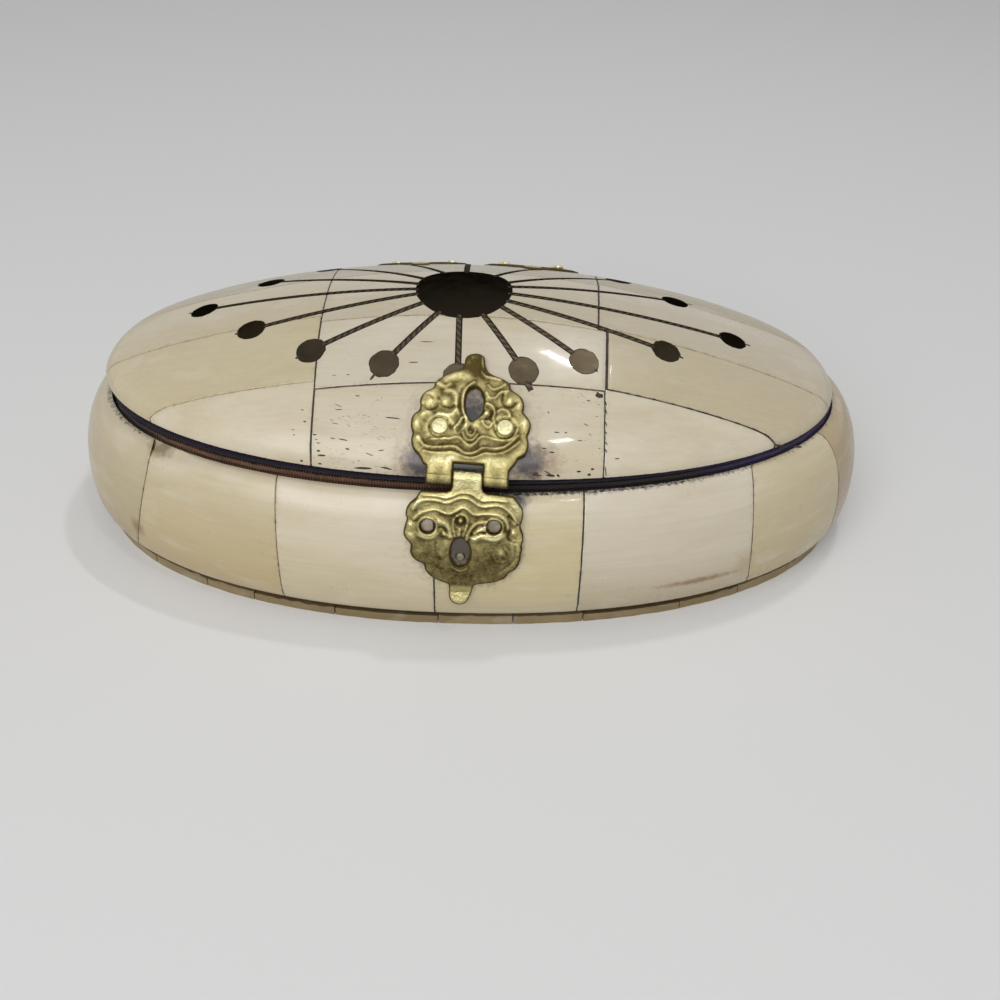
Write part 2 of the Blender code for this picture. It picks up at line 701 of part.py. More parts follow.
def build_hardware(brass, dark_brass, steel):
    """Latch at the front and two hinges at the rear, with the nail holes that they need."""
    latch_lid = leaf_place(LATCH_X, -1, True, LATCH_LEAN)
    latch_side = leaf_place(LATCH_X, -1, False, LATCH_LEAN, FINGER_BEND)
    shank_hole = NAIL_SHANK + GAP
    lid_pieces = [stamped_leaf("latch_plate", latch_lid, False, shank_hole, brass)]
    flap = stamped_leaf("latch_flap", latch_side, True, EMPTY_HOLE_RADIUS, dark_brass)
    half_pin = HINGE_EDGE_WIDTH / 2
    lid_pieces.append(smooth(rod("latch_pin", pin_point(latch_lid, -half_pin),
                                 pin_point(latch_lid, half_pin), PIN_RADIUS, steel)))
    lid_nails = [("latch_nail", latch_lid)]
    side_nails = []
    for word, x in (("left", -HINGE_SPACING / 2), ("right", HINGE_SPACING / 2)):
        on_lid, on_side = leaf_place(x, 1, True), leaf_place(x, 1, False)
        lid_pieces.append(stamped_leaf("hinge_lid_leaf_" + word, on_lid, False, shank_hole, brass))
        stamped_leaf("hinge_body_leaf_" + word, on_side, True, shank_hole, brass)
        smooth(rod("hinge_pin_" + word, pin_point(on_lid, -half_pin), pin_point(on_lid, half_pin),
                   PIN_RADIUS, steel))
        lid_nails.append(("hinge_lid_nail_" + word, on_lid))
        side_nails.append(("hinge_body_nail_" + word, on_side))
    lid_cutters, side_cutters = [], []
    for name, place in lid_nails:
        for side, ending in ((-1, "_a"), (1, "_b")):
            lid_pieces.append(nail(name + ending, place, side, brass))
            lid_cutters.append(nail_hole_cutter(place, side))
    for name, place in side_nails:
        for side, ending in ((-1, "_a"), (1, "_b")):
            nail(name + ending, place, side, brass)
            side_cutters.append(nail_hole_cutter(place, side))
    seat, normal = stud_line(latch_side)
    depth = BONE + GAP + NAIL_BITE
    smooth(rod("catch_stud", seat - normal * depth, seat + normal * STUD_SHOW, STUD_RADIUS, steel))
    side_cutters.append(rod("stud_hole_cutter", seat - normal * (depth + GAP), seat + normal * BONE,
                            STUD_RADIUS + GAP))
    return lid_pieces, flap, lid_cutters, side_cutters


def main():
    for item in list(bpy.data.objects):
        bpy.data.objects.remove(item)

    bone = new_material("bone", (0.76, 0.70, 0.56), 0.32)
    wood = new_material("sheesham_wood", (0.20, 0.10, 0.055), 0.6)
    cloth = new_material("purple_velvet", (0.045, 0.02, 0.09), 0.95)
    brass = new_material("stamped_brass", (0.62, 0.50, 0.22), 0.32, 1.0)
    dark_brass = new_material("worn_brass", (0.45, 0.36, 0.16), 0.38, 1.0)
    tarnished = new_material("tarnished_brass", (0.11, 0.09, 0.05), 0.45, 1.0)
    steel = new_material("pin_steel", (0.42, 0.40, 0.36), 0.4, 1.0)

    build_foot(bone, wood)
    build_body_lining(cloth)
    build_lid_lining(cloth)
    body_core = build_body_core(wood)
    lid_core = build_lid_core(wood)
    lid_shell = dome_shell("lid_shell", 0.0, BONE, LID_BONE_EDGE, BONE_LEVELS, CORE_LEVELS)

    lid_pieces, flap, lid_cutters, side_cutters = build_hardware(brass, dark_brass, steel)
    for cutter in lid_cutters:
        boolean(lid_core, cutter, "DIFFERENCE", keep=True)
        boolean(lid_shell, cutter, "DIFFERENCE")
    panels = build_side_panels(bone)
    for cutter in side_cutters:
        for panel in panels:
            if boxes_meet(panel, cutter):
                boolean(panel, cutter, "DIFFERENCE", keep=True)
        boolean(body_core, cutter, "DIFFERENCE")

    pocket = sunburst("pocket_cutter", GAP, INLAY_DEPTH + GAP, BONE)
    inlay = sunburst("sunburst_inlay", 0.0, INLAY_DEPTH, 0.0)
    inlay.data.materials.append(tarnished)
    smooth(inlay)

    for panel in panels:
        smooth(panel)
    lid_tiles = build_lid_tiles(lid_shell, pocket, bone)
    smooth(body_core)
    smooth(lid_core)

    for item in bpy.data.objects:
        item.data.transform(Matrix.Scale(MM, 4))
    lid_lining = bpy.data.objects["lid_lining"]
    hinge_line = moving_empty("lid_hinge_axis", (0.0, PIN_OUT * MM, PIN_HEIGHT * MM),
                              [lid_core, lid_lining, inlay] + lid_tiles + lid_pieces)
    latch_line = moving_empty("latch_axis", (LATCH_X * MM, -PIN_OUT * MM, PIN_HEIGHT * MM), [flap])
    latch_line.parent = hinge_line
    latch_line.matrix_parent_inverse = hinge_line.matrix_world.inverted()


main()
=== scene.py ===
"""Looks of the oval bone-clad keepsake box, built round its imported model.

Everything is modelled in millimetres and scaled to metres when a piece is finished. X runs along the
box, the latch is on the -Y side, and the box stands on Z = 0 with its middle at the origin.
"""

import math

import bmesh
import bpy
import numpy as np
from mathutils import Matrix, Vector, noise


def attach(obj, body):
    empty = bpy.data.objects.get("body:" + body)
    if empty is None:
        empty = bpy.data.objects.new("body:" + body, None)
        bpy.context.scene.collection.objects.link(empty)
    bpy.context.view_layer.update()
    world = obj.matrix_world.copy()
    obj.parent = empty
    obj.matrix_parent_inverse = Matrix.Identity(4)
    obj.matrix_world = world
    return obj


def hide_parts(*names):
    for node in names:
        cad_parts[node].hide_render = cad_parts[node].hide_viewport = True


bl_info = {
    "name": "Bone Keepsake Box",
    "version": (1, 0, 0),
    "blender": (4, 5, 0),
    "location": "3D View > Sidebar > Keepsake Box",
    "description": "Builds the bone, brass, wood and velvet of an oval keepsake box",
    "category": "Object",
}

# Vector noise takes its offsets from this seed, or from the clock where none is set
noise.seed_set(1)

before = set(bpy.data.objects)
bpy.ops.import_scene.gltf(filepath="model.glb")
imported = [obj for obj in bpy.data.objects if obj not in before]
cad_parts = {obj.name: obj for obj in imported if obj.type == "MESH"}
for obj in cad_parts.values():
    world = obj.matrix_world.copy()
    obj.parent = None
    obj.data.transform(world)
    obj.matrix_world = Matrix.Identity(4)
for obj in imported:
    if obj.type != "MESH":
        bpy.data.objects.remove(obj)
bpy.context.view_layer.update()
MM = 0.001

# Shape of the box, the same as in its CAD source
BODY_LENGTH = 178.0
BODY_DEPTH = 99.0
NARROWER = (BODY_LENGTH - BODY_DEPTH) / 2
OUTLINE_POWER = 2.14
WIDEST_HEIGHT = 12.5
SIDE_BONE_TOP = 31.4
SIDE_BONE_BOTTOM = 3.6
SHOULDER_INSET = 8.0
SHOULDER_POWER = 1.92
HEEL_HEIGHT = 3.3
HEEL_INSET = 3.9
HEEL_POWER = 2.45
FOOT_INSET = 2.8
FOOT_BONE_HEIGHT = 2.7
FOOT_BONE_WIDTH = 2.4
BONE = 2.0
WOOD_RIM_WIDTH = 6.2
CAVITY_FLOOR = 8.5
GAP = 0.3
RIM_SETBACK = 0.4
LAP_TOP = 33.5
LID_WOOD_EDGE = 33.8
LID_BONE_EDGE = 34.3
DOME_BASE = 36.2
DOME_RISE = 18.9
DOME_POWER = 1.5
DOME_SHOULDER = 0.8
FILED_FROM = 0.95
FILED_WIDTH = 0.05
FILED_DROP = 1.1
LID_HALF_LENGTH = 80.9
LID_HALF_DEPTH = 41.4
# Joints of the side: the angle at which each crosses the widest outline, the heading of its plane
# in plan, and how far the plane leans. The back's joints, which the photo doesn't show, head
# straight out. Dark joints are wider by their share.
SIDE_JOINTS = ((8.0, 8.0, 0.0), (33.0, 45.0, 0.0), (56.0, 66.0, 0.0), (76.0, 81.0, 0.0),
               (95.0, 93.0, 0.0), (115.0, 105.0, 0.0), (141.0, 128.0, 0.0), (172.0, 172.0, 0.0),
               (218.0, 270.0, -0.28), (245.7, 268.5, 0.0), (266.3, 270.0, 0.0), (283.4, 270.0, 0.0),
               (310.5, 270.0, 0.086), (334.9, 329.0, 0.0))
DARK_SIDE_JOINTS = (10, 11)
DARK_JOINT_SHARE = 1.6
CHIPPED_PLATE = 9
SUN_X = -1.7
SUN_Y = -0.5
DISC_RADIUS = 10.25
RAY_WIDTH = 1.05
DOT_RADIUS = 2.93

# How the lid lies on the box: a little askew, and lower towards its right end
LID_SAG = 0.012
LID_TURN = -0.008
LID_SHIFT = (-0.6, 0.2)

# Stamped brass leaves, the same as in the CAD source
SHEET = 0.6
SEAT_GAP = 0.35
PIN_RADIUS = 0.55
KNUCKLE_BORE = 0.85
HINGE_EDGE_WIDTH = 16.0
TONGUE_WIDTH = 5.4
SLOT_WIDTH = 6.0
SLOT_DEPTH = 3.6
LEAF_SHOULDER = 2.8
LEAF_RADIUS = 11.5
LEAF_MIDDLE = 11.6
LEAF_ROOT_POWER = 2.8
SCALLOPS = 6
SCALLOP_DEPTH = 0.5
TAB_WIDTH = 4.4
TAB_REACH = 27.2
KEYHOLE_PLACE = 16.3
NAIL_PLACE = 10.8
NAIL_SPREAD = 13.0
PIN_OUT = 43.3
PIN_HEIGHT = 36.0
LID_LANDING_SHARE = 0.9
LID_END_SHARE = 0.3
SIDE_LANDING = 24.0
LATCH_X = 0.6
LATCH_SHIFT = -1.1
LATCH_LEAN = 3.5
HINGE_SPACING = 26.2
FINGER_BEND = 25.0
NAIL_HEAD = 1.6
LATCH_NAIL_HEAD = 1.78
LEAF_SHARP = 50.0
RELIEF = 0.45
STUD_RADIUS = 1.0
ROLLED = 5.0 * (KNUCKLE_BORE + SHEET / 2)

# How planks and plates are finished: loops beside a joint, welding distance, how uneven an edge is,
# and how far round a plate reaches, in radians, before its joints are cut
LID_EDGE_LOOPS = (0.25, 0.45, 1.2)
SIDE_EDGE_LOOPS = (0.12, 0.4, 1.2)
WELD = 0.03
UNEVEN = 0.06
SPARE = 0.15

# How far the sun's brass, its pockets and their wax reach past its outline, over the bone and into it
INLAY = (0.0, 0.0, 0.95)
POCKET = (0.16, 0.6, 1.7)
WAX = (0.15, -0.05, 0.9)
STRIP_WAX = (0.12, -0.05, 0.9)


def linear(code):
    """Linear red, green and blue of an sRGB hex colour."""
    values = [int(code[place:place + 2], 16) / 255 for place in (1, 3, 5)]
    return tuple(v / 12.92 if v <= 0.04045 else ((v + 0.055) / 1.055) ** 2.4 for v in values)


def colour_property(name, description, code):
    return bpy.props.FloatVectorProperty(name=name, description=description, subtype="COLOR",
                                         size=3, min=0.0, max=1.0, default=linear(code))


def length_property(name, description, value):
    return bpy.props.FloatProperty(name=name, description=description, default=value, min=0.0,
                                   soft_max=4 * value)


class BoneSettings(bpy.types.PropertyGroup):
    """Bone plates of the lid, the side and the foot."""
    cream: colour_property("Cream", "Colour of clean polished bone", "#D6CAB0")
    straw: colour_property("Straw", "Colour where the bone has yellowed", "#BFAE84")
    # Umber also serves as painted shade along the side's bottom edge and the foot's top edge.
    umber: colour_property("Umber", "Dirt in pores and joints", "#3A2C20")
    navy: colour_property("Navy", "Dye that has bled from the cloth at the seam", "#1B1728")
    lid_joint: length_property("Long joint (mm)", "Gap between two planks of the lid", 0.16)
    cross_joint: length_property("Cross joint (mm)", "Gap between two columns of the lid", 0.34)
    side_joint: length_property("Side joint (mm)", "Gap between two plates of the side", 0.2)
    edge_wear: length_property("Edge wear (mm)", "How far the plates' edges are rounded down", 0.07)


class BrassSettings(bpy.types.PropertyGroup):
    """Latch, hinges and inlay."""
    # The recess colour also serves as painted shade in the hollows, and the bright colour as a painted
    # highlight on the stamping's crests.
    worn: colour_property("Worn brass", "Colour of the raised, rubbed brass", "#A99E6C")
    recess: colour_property("Recess", "Tarnish in the hollows of the stamping", "#4C4022")
    bright: colour_property("Bright brass", "Colour of the nail heads", "#D6CFA2")
    disc: colour_property("Disc", "Tarnished brass of the sun's disc", "#24201A")
    dots: colour_property("Dots", "Tarnished brass of the sun's dots", "#8A7A62")
    relief: length_property("Relief (mm)", "Height of the stamped pattern", RELIEF)


class ClothSettings(bpy.types.PropertyGroup):
    """Wood and cloth that show in the seam and inside."""
    rosewood: colour_property("Rosewood", "Colour of the sawn wooden rim", "#7F5D44")
    rosewood_dark: colour_property("Dark grain", "Colour of the wood's dark grain", "#5A3A2A")
    velvet: colour_property("Velvet", "Colour of the lining", "#2A1740")


# Surfaces of the box

def oval_point(half_length, half_depth, angle):
    cosine, sine = math.cos(angle), math.sin(angle)
    power = 2 / OUTLINE_POWER
    return (half_length * math.copysign(abs(cosine) ** power, cosine),
            half_depth * math.copysign(abs(sine) ** power, sine))


def side_inset(height):
    if height >= WIDEST_HEIGHT:
        share = min((height - WIDEST_HEIGHT) / (SIDE_BONE_TOP - WIDEST_HEIGHT), 1.0)
        return SHOULDER_INSET * (1 - (1 - share ** SHOULDER_POWER) ** (1 / SHOULDER_POWER))
    share = min((WIDEST_HEIGHT - height) / (WIDEST_HEIGHT - HEEL_HEIGHT), 1.0)
    return HEEL_INSET * (1 - (1 - share ** HEEL_POWER) ** (1 / HEEL_POWER))


def dome_height(reach, depth=0.0):
    """Height of the dome over its middle or out to its rim, where the bone is filed round."""
    filed = max((reach - FILED_FROM) / FILED_WIDTH, 0.0) ** 3
    dome = max(1 - reach ** DOME_POWER, 0.0) ** DOME_SHOULDER
    return DOME_BASE - FILED_DROP * filed + (DOME_RISE - depth) * dome


def lid_reach(x, y):
    """How far a point lies from the lid's middle to its rim, from 0 to 1."""
    across, along = abs(x) / LID_HALF_LENGTH, abs(y) / LID_HALF_DEPTH
    return (across ** OUTLINE_POWER + along ** OUTLINE_POWER) ** (1 / OUTLINE_POWER)


def dome_profile(half_length, rings, depth=0.0):
    """Points from the dome's middle out to its rim, at a depth under the bone's outer surface."""
    reaches = [math.sin(math.pi / 2 * ring / rings) for ring in range(rings + 1)]
    return [(half_length * reach, dome_height(reach, depth)) for reach in reaches]


def dome_point(x, y, rise=0.0):
    """Point on the lid's bone over a place in plan, raised along the surface's normal."""
    step = 0.05
    height = dome_height(min(lid_reach(x, y), 1.0))
    slope_x = (dome_height(min(lid_reach(x + step, y), 1.0)) - height) / step
    slope_y = (dome_height(min(lid_reach(x, y + step), 1.0)) - height) / step
    return Vector((x, y, height)) + Vector((-slope_x, -slope_y, 1.0)).normalized() * rise


# Making and finishing pieces

def oval_spin(profile, half_depth, start=0.0, end=2 * math.pi, steps=256):
    """Spin a profile of half lengths and heights round Z, and press the round into the box's oval."""
    whole = end - start > 2 * math.pi - 1e-6
    bm = bmesh.new()
    corners = [bm.verts.new((out * math.cos(start), out * math.sin(start), height))
               for out, height in profile]
    edges = [bm.edges.new(pair) for pair in zip(corners, corners[1:])]
    bmesh.ops.spin(bm, geom=corners + edges, cent=(0, 0, 0), axis=(0, 0, 1), angle=end - start,
                   steps=steps, use_merge=whole, use_duplicate=False)
    bmesh.ops.remove_doubles(bm, verts=bm.verts, dist=1e-4)
    for corner in bm.verts:
        out = math.hypot(corner.co.x, corner.co.y)
        angle = math.atan2(corner.co.y, corner.co.x)
        corner.co.x, corner.co.y = oval_point(out, half_depth(out), angle)
    bmesh.ops.recalc_face_normals(bm, faces=bm.faces)
    return bm


def slice_plane(bm, place, normal, drop=False):
    """Cut a mesh along a plane, and drop what lies on the plane's outer side if asked."""
    bmesh.ops.bisect_plane(bm, geom=bm.verts[:] + bm.edges[:] + bm.faces[:], plane_co=place,
                           plane_no=normal, clear_outer=drop, dist=1e-4)


def thicken(bm, thickness):
    """Give an open sheet thickness against its faces' normals."""
    bmesh.ops.solidify(bm, geom=bm.faces[:], thickness=thickness)
    bmesh.ops.recalc_face_normals(bm, faces=bm.faces)


def mesh_of(name, bm):
    mesh = bpy.data.meshes.new(name)
    bm.to_mesh(mesh)
    bm.free()
    return mesh


def object_of(name, data):
    item = bpy.data.objects.new(name, data)
    bpy.context.scene.collection.objects.link(item)
    return item


def piece(name, bm, material, body, nodes=(), sharp=32.0):
    """Finish a mesh drawn in millimetres as a piece that rides on a body."""
    bm.normal_update()
    mesh = mesh_of(name, bm)
    item = object_of(name, mesh)
    mesh.materials.append(material)
    mesh.shade_smooth()
    mesh.set_sharp_from_angle(angle=math.radians(sharp))
    mesh.transform(Matrix.Scale(MM, 4))
    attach(item, body)
    if nodes:
        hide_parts(*nodes)
    return item


def settle(item, share=1.0):
    """Let a finished piece of the lid lie a little askew, and lower at its right end."""
    sag = Matrix.Identity(4)
    sag[2][0] = -LID_SAG * share
    shift = Matrix.Translation((LID_SHIFT[0] * MM, LID_SHIFT[1] * MM, 0.0))
    item.data.transform(sag @ shift @ Matrix.Rotation(LID_TURN, 4, "Z"))


def paint(item, name, values, kind="FLOAT"):
    """Store one value per corner point of a piece for its material to read."""
    attribute = item.data.attributes.new(name, kind, "POINT")
    key = {"FLOAT": "value", "FLOAT_VECTOR": "vector", "FLOAT_COLOR": "color"}[kind]
    attribute.data.foreach_set(key, np.asarray(values, np.float32).ravel())


def points_mm(item):
    values = np.empty(len(item.data.vertices) * 3, np.float32)
    item.data.vertices.foreach_get("co", values)
    return values.reshape(-1, 3) / MM


def boolean(bm, cutter, operation, solver="EXACT"):
    """Cut one bmesh with another through Blender's boolean modifier."""
    target = object_of("cut", mesh_of("cut", bm))
    tool = object_of("cutter", mesh_of("cutter", cutter))
    modifier = target.modifiers.new("cut", "BOOLEAN")
    modifier.object, modifier.operation, modifier.solver = tool, operation, solver
    evaluated = target.evaluated_get(bpy.context.evaluated_depsgraph_get())
    result = bpy.data.meshes.new_from_object(evaluated)
    made = bmesh.new()
    made.from_mesh(result)
    bpy.data.meshes.remove(result)
    for item in (target, tool):
        mesh = item.data
        bpy.data.objects.remove(item)
        bpy.data.meshes.remove(mesh)
    return made


def join(meshes):
    """Put several loose shapes into one mesh."""
    whole = bmesh.new()
    for bm in meshes:
        mesh = mesh_of("part", bm)
        whole.from_mesh(mesh)
        bpy.data.meshes.remove(mesh)
    return whole


# Materials

OXIDE_TINT = (0.02, 0.02, 0.02, 1.0)


def add_node(tree, kind, inputs=None, **settings):
    """Add a shader node, set its properties, and fill its sockets with values, sockets or nodes."""
    made = tree.nodes.new("ShaderNode" + kind)
    for name, value in settings.items():
        setattr(made, name, value)
    for socket, value in (inputs or {}).items():
        if isinstance(value, bpy.types.Node):
            value = next(output for output in value.outputs if output.enabled)
        if isinstance(value, bpy.types.NodeSocket):
            tree.links.new(value, made.inputs[socket])
        else:
            made.inputs[socket].default_value = value
    return made


def rgba(colour):
    return (*colour, 1.0)


class Surface:
    """A new material with its shader's own sockets set, and short ways to add nodes to it."""

    def __init__(self, name, **sockets):
        self.material = bpy.data.materials.new(name)
        self.material.use_nodes = True
        self.tree = self.material.node_tree
        self.shader = self.tree.nodes["Principled BSDF"]
        for socket, value in sockets.items():
            self.shader.inputs[socket.replace("_", " ")].default_value = value

    def place(self):
        """Where a point lies on its piece, in millimetres."""
        return self.vector("SCALE", add_node(self.tree, "TexCoord").outputs["Object"], Scale=1 / MM)

    def painted(self, name, output="Fac"):
        """What the piece's points have been painted with."""
        return add_node(self.tree, "Attribute", attribute_name=name).outputs[output]

    def vector(self, operation, *values, **sockets):
        return add_node(self.tree, "VectorMath", dict(enumerate(values)) | sockets, operation=operation)

    def math(self, operation, *values):
        return add_node(self.tree, "Math", dict(enumerate(values)), operation=operation)

    def noise(self, place, scale, detail=2.0, roughness=0.5, distortion=0.0):
        return add_node(self.tree, "TexNoise", {"Vector": place, "Scale": scale, "Detail": detail,
                                                "Roughness": roughness, "Distortion": distortion})

    def lines(self, place, scale, distortion, detail, detail_scale):
        """Wavy parallel lines, as a saw or a file leaves them."""
        wave = add_node(self.tree, "TexWave", {"Vector": place, "Scale": scale, "Distortion": distortion,
                                               "Detail": detail, "Detail Scale": detail_scale})
        return wave.outputs["Fac"]

    def turned(self, place, turn, scale=(1.0, 1.0, 1.0)):
        return add_node(self.tree, "Mapping", {"Vector": place, "Rotation": turn, "Scale": scale})

    def band(self, value, low, high, start=0.0, end=1.0):
        """Bring a value from one range to another, without leaving it."""
        return add_node(self.tree, "MapRange", {"Value": value, "From Min": low, "From Max": high,
                                                "To Min": start, "To Max": end})

    def mix(self, share, under, over, **settings):
        """Lay a share of one colour or value over another."""
        kinds = bpy.types.Node, bpy.types.NodeSocket
        under, over = (value if isinstance(value, kinds) else rgba(value) for value in (under, over))
        return add_node(self.tree, "Mix", {0: share, 6: under, 7: over}, data_type="RGBA", **settings)

    def finish(self, colour, rough=None, height=None, strength=1.0, depth=1.0):
        """Wire colour, roughness and bump to the shader; the bump's depth is in millimetres."""
        self.tree.links.new(colour.outputs[2], self.shader.inputs["Base Color"])
        if rough is not None:
            self.tree.links.new(rough.outputs[0], self.shader.inputs["Roughness"])
        if height is not None:
            bump = add_node(self.tree, "Bump", {"Height": height, "Strength": strength,
                                                "Distance": depth * MM})
            self.tree.links.new(bump.outputs[0], self.shader.inputs["Normal"])
        return self.material


def bone_material(name, bone, polish, spots=()):
    """Polished camel bone: cream with straw clouds, faint streaks, and dark pores along its grain.

    Each spot is a stain or a patch of painted shade: its middle and its reach in millimetres, its colour
    and its strength.
    """
    skin = Surface(name, Roughness=0.3, IOR=1.54, Subsurface_Weight=0.12,
                   Subsurface_Radius=(1.2, 0.8, 0.5), Subsurface_Scale=0.001,
                   Coat_Weight=0.0 if polish > 0.4 else 0.25, Coat_Roughness=0.07)
    place, grain = skin.place(), skin.painted("grain", "Vector")

    def stretched(along, across, detail=2.0):
        """Noise drawn out along the grain, with its size in millimetres along and across."""
        vector = skin.vector("MULTIPLY", grain, (1 / along, 1 / across, 1 / across))
        return skin.noise(vector, 1.0, detail, 0.55)

    clouds = skin.band(stretched(30.0, 9.0, 4.0), 0.45, 0.75, 0.0, 0.5)
    streaks = skin.band(stretched(22.0, 0.9, 4.0), 0.3, 0.7, 0.955, 1.025)
    fibres = skin.band(stretched(5.0, 0.28), 0.35, 0.7, 0.975, 1.01)
    milky = skin.band(stretched(12.0, 6.0, 3.0), 0.55, 0.75, 0.0, 0.3)
    colour = skin.mix(clouds, skin.painted("tone", "Color"), bone.straw)
    colour = skin.mix(milky, colour, linear("#E2DACA"))
    colour = skin.mix(1.0, colour, skin.math("MULTIPLY", streaks, fibres), blend_type="MULTIPLY")

    # Pores are dark dashes about 1.5 mm long and 0.2 mm wide, in drifts
    drift = skin.band(stretched(14.0, 4.0), 0.42, 0.62)
    crowd = skin.math("MULTIPLY", skin.painted("pores"), drift)
    limit = skin.math("MULTIPLY_ADD", crowd, -0.15, 0.83)
    dashes = skin.band(skin.math("SUBTRACT", stretched(1.1, 0.15, 1.0), limit), 0.0, 0.04, 0.0, 0.85)
    colour = skin.mix(dashes, colour, bone.umber)

    patchy = skin.noise(place, 0.8, 5.0, 0.6)
    for middle, reach, spot_colour, strength in spots:
        away = skin.vector("DIVIDE", skin.vector("SUBTRACT", place, middle), reach)
        away = skin.vector("LENGTH", away).outputs["Value"]
        away = skin.math("MULTIPLY_ADD", patchy, 1.1, away)
        colour = skin.mix(skin.band(away, 0.85, 1.6, strength, 0.0), colour, linear(spot_colour))

    # Dirt rubbed into the joints, painted shade along the side's bottom edge and the foot's top edge, and
    # dye that has bled in at the seam
    dirt_and_shade = skin.math("MULTIPLY", skin.painted("edge"), skin.band(patchy, 0.45, 0.7, 0.0, 0.6))
    colour = skin.mix(dirt_and_shade, colour, bone.umber)
    fine = skin.band(skin.noise(place, 1.3, 4.0, 0.7), 0.3, 0.7, -0.4, 0.4)
    fringe = skin.math("ADD", skin.painted("bled"), fine)
    colour = skin.mix(skin.band(fringe, 0.4, 0.9, 0.0, 0.95), colour, bone.navy)

    rough = skin.band(skin.noise(place, 0.12, 5.0), 0.3, 0.7, polish - 0.03, polish + 0.14)
    rough = skin.math("MULTIPLY_ADD", dashes, 0.4, rough)
    height = skin.math("MULTIPLY", skin.noise(place, 0.16), 0.16)
    height = skin.math("MULTIPLY_ADD", dashes, -0.05, height)
    height = skin.math("MULTIPLY_ADD", streaks, 0.05, height)
    return skin.finish(colour, rough, height)


def filler_material(name, colour, gap_colour, gaps=(0.42, 0.6)):
    """Glue, wax and dirt packed into a joint: dull, dark, and broken into dashes."""
    filler = Surface(name, Roughness=0.75)
    share = filler.band(filler.noise(filler.place(), 0.5, 5.0, 0.65), *gaps)
    return filler.finish(filler.mix(share, linear(colour), linear(gap_colour)))


def inlay_material(name, colour, roughness, scale):
    """Tarnished sheet brass, filed flush with the bone: black oxide that wears through to grey brown."""
    brass = Surface(name, Metallic=1.0, Roughness=roughness, Specular_Tint=OXIDE_TINT)
    place = brass.place()
    blotch = brass.noise(place, scale, 5.0, 0.6)
    # Wear of the oxide, which on the front dots also stands for painted light
    share = brass.math("ADD", brass.painted("wear"), brass.band(blotch, 0.3, 0.75, -0.06, 0.1))
    colour = brass.mix(share, linear("#2A261E"), colour, clamp_factor=True)
    rough = brass.band(blotch, 0.3, 0.7, roughness + 0.12, roughness - 0.08)
    files = brass.noise(brass.turned(place, (0, 0, 0.7), (9.0, 0.8, 9.0)), 1.0)
    return brass.finish(colour, rough, files, 0.5, 0.06)


def strip_material(name, colour):
    """Thin brass strips let in edge-up: grey olive backs scored slantwise, with black wax at the sides."""
    brass = Surface(name, Metallic=0.9, Roughness=0.5, Specular_Tint=OXIDE_TINT)
    across = brass.painted("across", "Vector")
    score = brass.lines(brass.turned(across, (0, 0, 0.8)), 0.28, 2.5, 2.0, 1.5)
    side = add_node(brass.tree, "SeparateXYZ", {0: brass.vector("ABSOLUTE", across)}).outputs["Y"]
    side = brass.math("MULTIPLY_ADD", brass.noise(brass.place(), 0.9, 4.0), -0.3, side)
    share = brass.math("MULTIPLY", brass.band(side, 0.15, 0.36, 1.0, 0.0),
                       brass.band(score, 0.25, 0.7, 0.35, 1.0))
    return brass.finish(brass.mix(share, linear("#1A1611"), linear(colour)), None, share, 0.6, 0.06)


def stamped_brass_material(name, brass):
    """Stamped sheet brass: olive gold, bright crests and dark hollows from wear and tarnish with painted
    highlight and shade, and a pebbled skin.
    """
    leaf = Surface(name, Metallic=1.0, Roughness=0.35)
    place = leaf.place()
    pebble = leaf.noise(place, 1.7, 3.0, 0.6)
    high = leaf.math("MULTIPLY_ADD", leaf.noise(place, 0.8, 6.0, 0.65), 0.45, leaf.painted("rubbed_and_lit"))
    high = leaf.math("MULTIPLY_ADD", pebble, 0.3, high)
    # Hollows take the recess colour as tarnish and painted shade, and the highest crests take the bright
    # colour as a painted highlight.
    colour = leaf.mix(leaf.band(high, 0.38, 0.82), brass.recess, brass.worn)
    colour = leaf.mix(leaf.band(high, 0.84, 1.25), colour, brass.bright)
    return leaf.finish(colour, leaf.band(high, 0.4, 1.1, 0.55, 0.27), pebble, 0.7, 0.3)


def plain_metal_material(name, colour, roughness):
    """Drawn pin or struck nail head: bare metal with fine scratches."""
    metal = Surface(name, Metallic=1.0, Roughness=roughness)
    place = metal.place()
    blotch = metal.band(metal.noise(place, 1.6, 4.0), 0.35, 0.65)
    scratch = metal.noise(metal.vector("MULTIPLY", place, (1, 9, 9)), 1.0)
    mixed = metal.mix(blotch, [value * 0.6 for value in colour], colour)
    return metal.finish(mixed, None, scratch, 0.5, 0.05)


